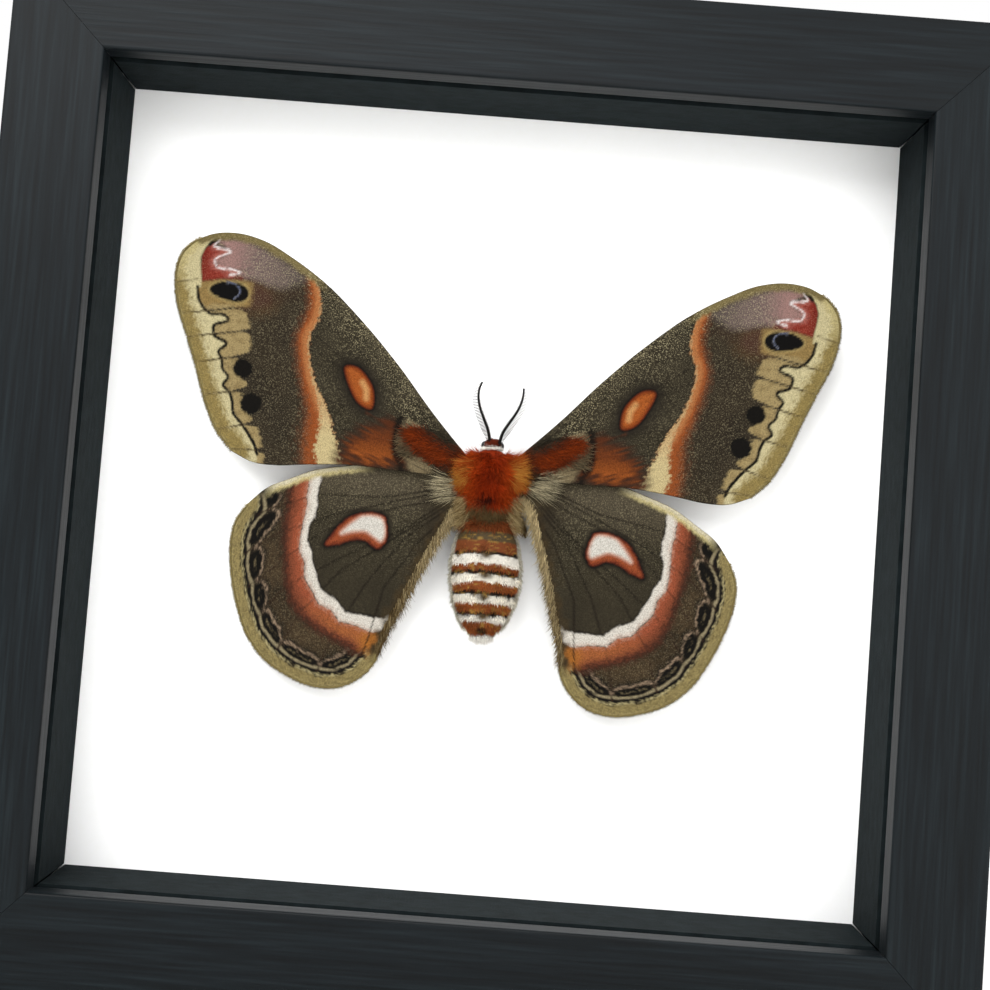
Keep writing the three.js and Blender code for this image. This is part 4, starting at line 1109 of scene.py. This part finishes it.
WHITE_OUTSIDE = [
    (38.4, 2), (38.4, -0.8), (38.4, -3.5), (38, -5.9), (38.3, -9.1), (38.4, -11.8), (38.2, -14.7),
    (36.7, -17.1), (36.2, -20.4), (34.1, -22.9), (32.5, -25.2), (29.7, -26), (27.7, -28.1), (24.1, -28.4),
    (20.9, -29.3), (17, -29),
]
ORANGE_OUTSIDE = [
    (42.4, 1), (41.9, -2.3), (41.7, -6.1), (41.8, -9.2), (41.3, -13.3), (40.5, -17.3), (39.6, -21.3),
    (38.1, -25.2), (35.6, -27.9), (32.1, -30.1), (27.7, -31.8), (23.9, -33.3), (20.4, -34.8), (17, -34),
]
CRESCENT = [
    (33.1, -13), (31.7, -9.9), (29.7, -7.1), (27.4, -5.5), (24.4, -4.8), (21.8, -5.2), (21, -6.8),
    (20.5, -9.6), (21.1, -11.2), (22.2, -12.2), (23.7, -11.6), (24.9, -10.9), (27.5, -11.1),
    (30.2, -12.4),
]
CRESCENT_WHITE = [
    (30.2, -10.1), (28.1, -7.5), (26.1, -5.9), (23, -5.6), (21.6, -6.9), (21.2, -9.1), (21.8, -10.4),
    (23.2, -9.8), (25.2, -8.9), (27.8, -9.3),
]


def hindwing_paint(ab, margin):
    """The hindwing's colours and flecks at shared wing coordinates in millimetres."""
    a, b = ab.T
    fray, grain = ragged(ab, 11)
    broad = value_noise(ab, 4.0, 14)
    vein = vein_gap(ab, HIND_VEINS)
    tint = np.tile(linear("3a3427"), (len(ab), 1))
    lay(tint, "5a5140", share((b + 7) / 8 + 0.2 * grain))
    lay(tint, "4b4433", 0.15 + 0.5 * grain + 0.3 * broad)
    lay(tint, "352c1f", share((17 - a) / 9))
    lay(tint, "221c15", share((0.32 - vein) / 0.2) * 0.7)
    white = gap(ab, WHITE_INSIDE + WHITE_OUTSIDE[::-1], True)
    outer_side = gap(ab, WHITE_OUTSIDE + [(17, -50), (60, -50), (60, 8)], True)
    outer = share(0.5 - outer_side / 0.3)
    lay(tint, "54442f", outer)
    lay(tint, "261f18", outer * share(0.4 + 0.4 * broad + 0.4 * grain))
    arc = np.sqrt(np.maximum(1 - (1 - share(vein / 2.5)) ** 2, 0))
    near_line = 4.2 - 0.7 * arc + 0.5 * fray
    far_line = 4.2 + (np.interp(b, [-38, -30, -20, -8], [5.6, 6.2, 6.7, 7.0]) - 4.2) * arc + 1.1 * fray
    border = share(0.5 + (far_line + 1.2 - margin) / 0.8) * share((-3.5 - b) / 2) * share((a - 19) / 2)
    lay(tint, "1b1712", border * within(margin - far_line - 0.9, 0.8) * 0.8)
    lay(tint, "a09272", border * within(np.abs(margin - near_line) - 0.32, 0.3))
    lay(tint, "a88f76", border * within(np.abs(margin - far_line) - 0.3, 0.4) * share(0.75 + grain))
    heart_side = share((vein - 0.5) / 0.5) * within(near_line + 0.45 - margin, 0.3)
    lay(tint, "15120e", heart_side * within(margin - far_line + 0.45, 0.3))
    heart = within(np.abs(margin - 0.5 * (near_line + far_line)) - 0.22, 0.3) * share((vein - 1.5) / 0.5)
    lay(tint, "6f6248", border * heart * share(0.4 + grain))
    lay(tint, "151210", within(np.abs(margin - 2.95) - 0.3 + fray, 0.4))
    lay(tint, "c0b282", within(np.abs(margin - 2.35) - 0.25 + 1.2 * fray, 0.35) * share(0.8 + grain))
    lay(tint, "a39260", within(margin - 2.1 + 0.8 * fray, 0.4))
    lay(tint, "75663f", within(margin - 2.0 + fray, 0.6) * share(0.25 + 0.9 * grain) * 0.7)
    lay(tint, "bfae78", within(margin - 0.4 + fray, 0.4) * 0.5)
    from_white = gap(ab, WHITE_OUTSIDE)
    from_dark = gap(ab, ORANGE_OUTSIDE)
    past = gap(ab, WHITE_OUTSIDE + ORANGE_OUTSIDE[::-1], True) > 0
    way = np.where(past, 1 + from_dark / 4, from_white / (from_white + from_dark)) + 0.14 * grain + 0.2 * fray
    glow = outer * within(3.4 - margin, 0.8)
    warm = share((-24 - b) / 8)
    lay(tint, "4c2d20", glow * share((1.35 - way) / 0.3))
    lay(tint, "8a4a31", glow * share((1.02 - way) / 0.35))
    lay(tint, "a9593b", glow * share((0.68 - way) / 0.35))
    lay(tint, "b5703a", glow * share((0.8 - way) / 0.35) * warm * 0.8)
    lay(tint, "c58a70", glow * share((0.2 - way) / 0.2) * 0.8)
    gold = share(1.4 - np.hypot(a - 20.2, b + 31.2) / 2.6 + 0.3 * grain) * (outer_side < 0.2)
    lay(tint, "b8722f", gold * within(1.2 - margin, 1.0))
    lay(tint, "1a1612", share(1 - gap(ab, WHITE_INSIDE) / 0.5) * (white > -0.1) * 0.7)
    lay(tint, "f0e8da", within(white + 0.15 + 0.7 * fray, 0.4))
    blush = within(white + 0.15 + 0.7 * fray, 0.4) * share(1 - from_white / 0.9 + 0.4 * grain)
    lay(tint, "c08a70", blush * 0.55)
    moon = loop_gap(ab, CRESCENT)
    core = loop_gap(ab, CRESCENT_WHITE)
    lay(tint, "171310", share(1 - (moon - 0.1) / 0.8))
    lay(tint, "7c3520", within(moon + 0.1 + 0.3 * fray, 0.5))
    lay(tint, "a5522f", within(moon + 0.55 + fray, 0.8))
    lay(tint, "d9a48c", within(core - 0.35, 0.7) * within(moon + 0.3, 0.3))
    lay(tint, "ece6da", within(core + 0.1 + 0.3 * fray, 0.7))
    thread = share((0.26 - vein) / 0.2)
    lay(tint, "2a2218", thread * within(margin - 9, 0.8) * (margin > 3) * 0.75)
    lay(tint, "3a241a", thread * (outer_side < 0) * (margin > 3) * 0.5)
    costa = gap(ab, HIND_COSTA)
    pale = share((a - 25) / 5) * share((47.5 - a) / 3)
    lay(tint, "d9c98f", within(costa - 1.5 + fray, 0.8) * pale)
    lay(tint, "ece3c6", within(costa - 0.7 + fray, 0.8) * pale * 0.8)
    inner = gap(ab, HIND_INNER)
    lay(tint, "4a3c26", share(1.3 - inner / 2.4 + 0.5 * value_noise(ab, 1.0, 17)))
    lay(tint, "8f7a50", share(1.0 - inner / 1.1 + fray) * 0.8)
    lay(tint, "e6dccb", share(1.4 - np.hypot(a - 16.4, b + 26.8) / 1.6 + fray) * 0.8)
    lay(tint, "5c513c", share(1.6 - np.hypot(a - 7, b - 1.5) / 4.0 + fray) * 0.7)
    flecks = 0.22 * (outer_side > 0) * share((moon - 0.8) / 0.5) * share((a - 12) / 4) * share((b + 20) / 14)
    flecks = flecks + 0.14 * (outer_side < 0) * share((way - 1.0) * 3) * (margin > 4.4)
    return tint, fleck_share(tint, flecks, 0.16, 0.06)


wing_pair("hindwing", HIND_INNER, HIND_COSTA, (3.4, 2.1), HIND_MARGIN, HIND_VEINS, hindwing_paint)

# The wing hair: soft hair over each wing's root, red and grey on the forewings and cream on the hindwings.
# The hindwings' inner margins, beside the abdomen, carry a tan fringe of the same hair.
WING_CORNER = np.array([2.0, 48.0])
WING_PLACE = np.array([75.0, 100.0])
HAIR_SINK = 0.14
ROOT_HAIRS = 3600
INNER_HAIRS = 4400
FAN_HAIRS = 1300
ROUTE_STEPS = 200
FORE_LOOP = FORE_COSTA + [(53, 4.6), (40, 3.8), (30, 4.5), (7, 4.4), (3.6, 4.4)]
HIND_LOOP = HIND_COSTA + HIND_MARGIN[-2:0:-1] + HIND_INNER[::-1]


def wing_hairs(name, node, spots, lies, lengths, widths, colours, rise, seed, levels=3):
    """Hair rooted on a wing's upper face; lies are directions along the wing, and rise lifts them off it."""
    kind, hand = node.split("_")
    under = wing_y(spots, WING_REST[kind]) - HAIR_SINK
    roots, ahead = placed(spots, under, node), placed(spots + 0.1 * lies, under, node)
    ways = unit(ahead - roots) + np.array([0.0, -1.0, 0.0]) * rise[:, None]
    places = np.clip((spots + WING_CORNER) / WING_PLACE, 0.002, 0.99)
    hairs(
        name + hand.title(), roots, ways, lengths, widths, colours, places,
        seed + WING_TURNS[node][0], levels,
    )


def between(rng, count, line, spread):
    """Random spots near a line, scattered by up to the spread, and how far along it each one is."""
    route = curve(line, ROUTE_STEPS)
    pick = rng.integers(0, ROUTE_STEPS - 1, count)
    return route[pick] + rng.uniform(-spread, spread, (count, 2)), pick / (ROUTE_STEPS - 1)


def leaning(out, along):
    """Directions along the wing, out from the body and along it."""
    return unit(np.stack(np.broadcast_arrays(out, along), axis=1))


for node in ("forewing_left", "forewing_right"):
    rng = np.random.default_rng(80 + WING_TURNS[node][0])
    spots, along_route = between(rng, ROOT_HAIRS, [(5.0, 6.3), (10, 9.2), (15, 11), (17.5, 10)], 2.4)
    spots = spots[gap(spots, FORE_LOOP, True) < -0.3]
    count = len(spots)
    lies = leaning(0.9, -0.15 + 0.45 * rng.normal(size=count))
    picked = forewing_paint(spots, gap(spots, FORE_MARGIN))[0] * rng.uniform(0.7, 1.5, (count, 1))
    wing_hairs(
        "RootHair", node, spots, lies, rng.uniform(1.4, 2.8, count), rng.uniform(0.05, 0.09, count), picked,
        rng.uniform(0.05, 0.45, count), 81,
    )
for node in ("hindwing_left", "hindwing_right"):
    side = WING_TURNS[node][0]
    rng = np.random.default_rng(90 + side)
    spots, along_route = between(rng, INNER_HAIRS, HIND_INNER, 1.1)
    keep = gap(spots, HIND_LOOP, True) < -0.15
    spots, along_route = spots[keep], along_route[keep]
    count = len(spots)
    lies = leaning(0.15 - 0.75 * rng.random(count), -1.0 + 0.15 * rng.normal(size=count))
    mixed = share(rng.random(count) + (0.5 if side > 0 else 0.25) - 0.9 * along_route)[:, None]
    picked = linear("e0ca98") * mixed + linear("5e4a2a") * (1 - mixed)
    wing_hairs(
        "InnerFringe", node, spots, lies, rng.uniform(1.6, 3.0, count), rng.uniform(0.045, 0.075, count),
        picked * rng.uniform(0.7, 1.7, (count, 1)), rng.uniform(0.05, 0.35, count), 91,
    )
    spots = np.stack([rng.uniform(4.4, 8.0, FAN_HAIRS), rng.uniform(1.4, 4.4, FAN_HAIRS)], axis=1)
    spots = spots[gap(spots, HIND_LOOP, True) < -0.2]
    count = len(spots)
    lies = leaning(0.9, (spots[:, 1] - 3.4) * 0.14 + 0.1 * rng.normal(size=count))
    picked = linear("d6c8a2") * rng.uniform(0.15, 1.5, (count, 1)) ** 1.5
    wing_hairs(
        "HindRootHair", node, spots, lies, rng.uniform(2.6, 7.4, count), rng.uniform(0.04, 0.07, count),
        picked, rng.uniform(0.05, 0.4, count), 95,
    )

# The margin fringe: a single row of short scales along each wing's outer edge, in the border's olive.
# It is rooted just inside the edge and lies nearly flat, straight out.
FRINGE_HAIRS = 3600
FRINGE_STEPS = 1200
for node in WING_TURNS:
    kind = node.split("_")[0]
    rng = np.random.default_rng(100 + len(node))
    route = curve(FORE_MARGIN if kind == "forewing" else HIND_MARGIN, FRINGE_STEPS)
    ways = unit(np.gradient(route, axis=0))
    outs = np.stack([ways[:, 1], -ways[:, 0]], axis=1)
    pick = rng.integers(4, FRINGE_STEPS - 4, FRINGE_HAIRS)
    spots = route[pick] - 0.35 * outs[pick]
    colours = linear("a8965f") * rng.uniform(0.7, 1.25, (FRINGE_HAIRS, 1))
    wing_hairs(
        "Fringe" + kind.title(), node, spots, outs[pick] + 0.15 * rng.normal(size=(FRINGE_HAIRS, 2)),
        rng.uniform(0.45, 0.85, FRINGE_HAIRS), rng.uniform(0.04, 0.07, FRINGE_HAIRS), colours,
        np.zeros(FRINGE_HAIRS), 101, levels=1,
    )

# The stage: a pale floor under the case, with soft daylight from the upper left, as in the photo.
# The camera stands where the photo's did, a quarter of a metre in front of the moth and level with it.
CAMERA_PLACE = (0.000912, -0.2567, 0.09018)
CAMERA_TURN = (92.772, -4.370, -0.287)
CAMERA_LENS = 45.03
floor_points = np.array([(-900, -900, -8), (900, -900, -8), (900, 900, -8), (-900, 900, -8)], float)
floor_points = np.concatenate([floor_points, floor_points + (0, 0, 7.9)])
floor_faces = [(0, 1, 2, 3), (7, 6, 5, 4), (1, 5, 4, 0), (2, 6, 5, 1), (3, 7, 6, 2), (0, 4, 7, 3)]
floor_mesh = bpy.data.meshes.new("Floor")
floor_mesh.from_pydata((floor_points * MM).tolist(), [], floor_faces)
floor_mesh.materials.append(
    finish_of("FloorPale", lambda mat: mottled(mat, "e4e4e2", "e8e8e6", 4.0), 0.8)
)
floor = bpy.data.objects.new("Floor", floor_mesh)
bpy.context.collection.objects.link(floor)


def soft_light(name, place, size, watts):
    """A square area light facing the middle of the case."""
    light = bpy.data.lights.new(name, "AREA")
    light.size = size
    light.energy = watts
    made = bpy.data.objects.new(name, light)
    made.location = place
    aim = np.array([0.0, 0.0, FRAME_CENTRE * MM]) - np.array(place)
    flat_reach = math.hypot(aim[0], aim[1])
    made.rotation_euler = (math.atan2(flat_reach, -aim[2]), 0.0, math.atan2(-aim[0], aim[1]))
    bpy.context.collection.objects.link(made)


soft_light("KeyLight", (-0.3, -0.68, 0.72), 0.7, 9.5)
soft_light("FillLight", (0.5, -0.9, 0.25), 1.0, 5.0)
soft_light("BackLight", (0.3, 0.8, 0.6), 0.8, 6.0)
world = bpy.data.worlds.new("Daylight")
bpy.context.scene.world = world
world.use_nodes = True
world.node_tree.nodes["Background"].inputs["Color"].default_value = (1.0, 1.0, 1.0, 1.0)
world.node_tree.nodes["Background"].inputs["Strength"].default_value = 1.0
lens = bpy.data.cameras.new("Camera")
lens.lens = CAMERA_LENS
lens.sensor_width = 36.0
lens.clip_start = 0.01
camera = bpy.data.objects.new("Camera", lens)
camera.location = CAMERA_PLACE
camera.rotation_euler = [math.radians(angle) for angle in CAMERA_TURN]
bpy.context.collection.objects.link(camera)
bpy.context.scene.camera = camera
bpy.context.scene.view_settings.view_transform = "Standard"
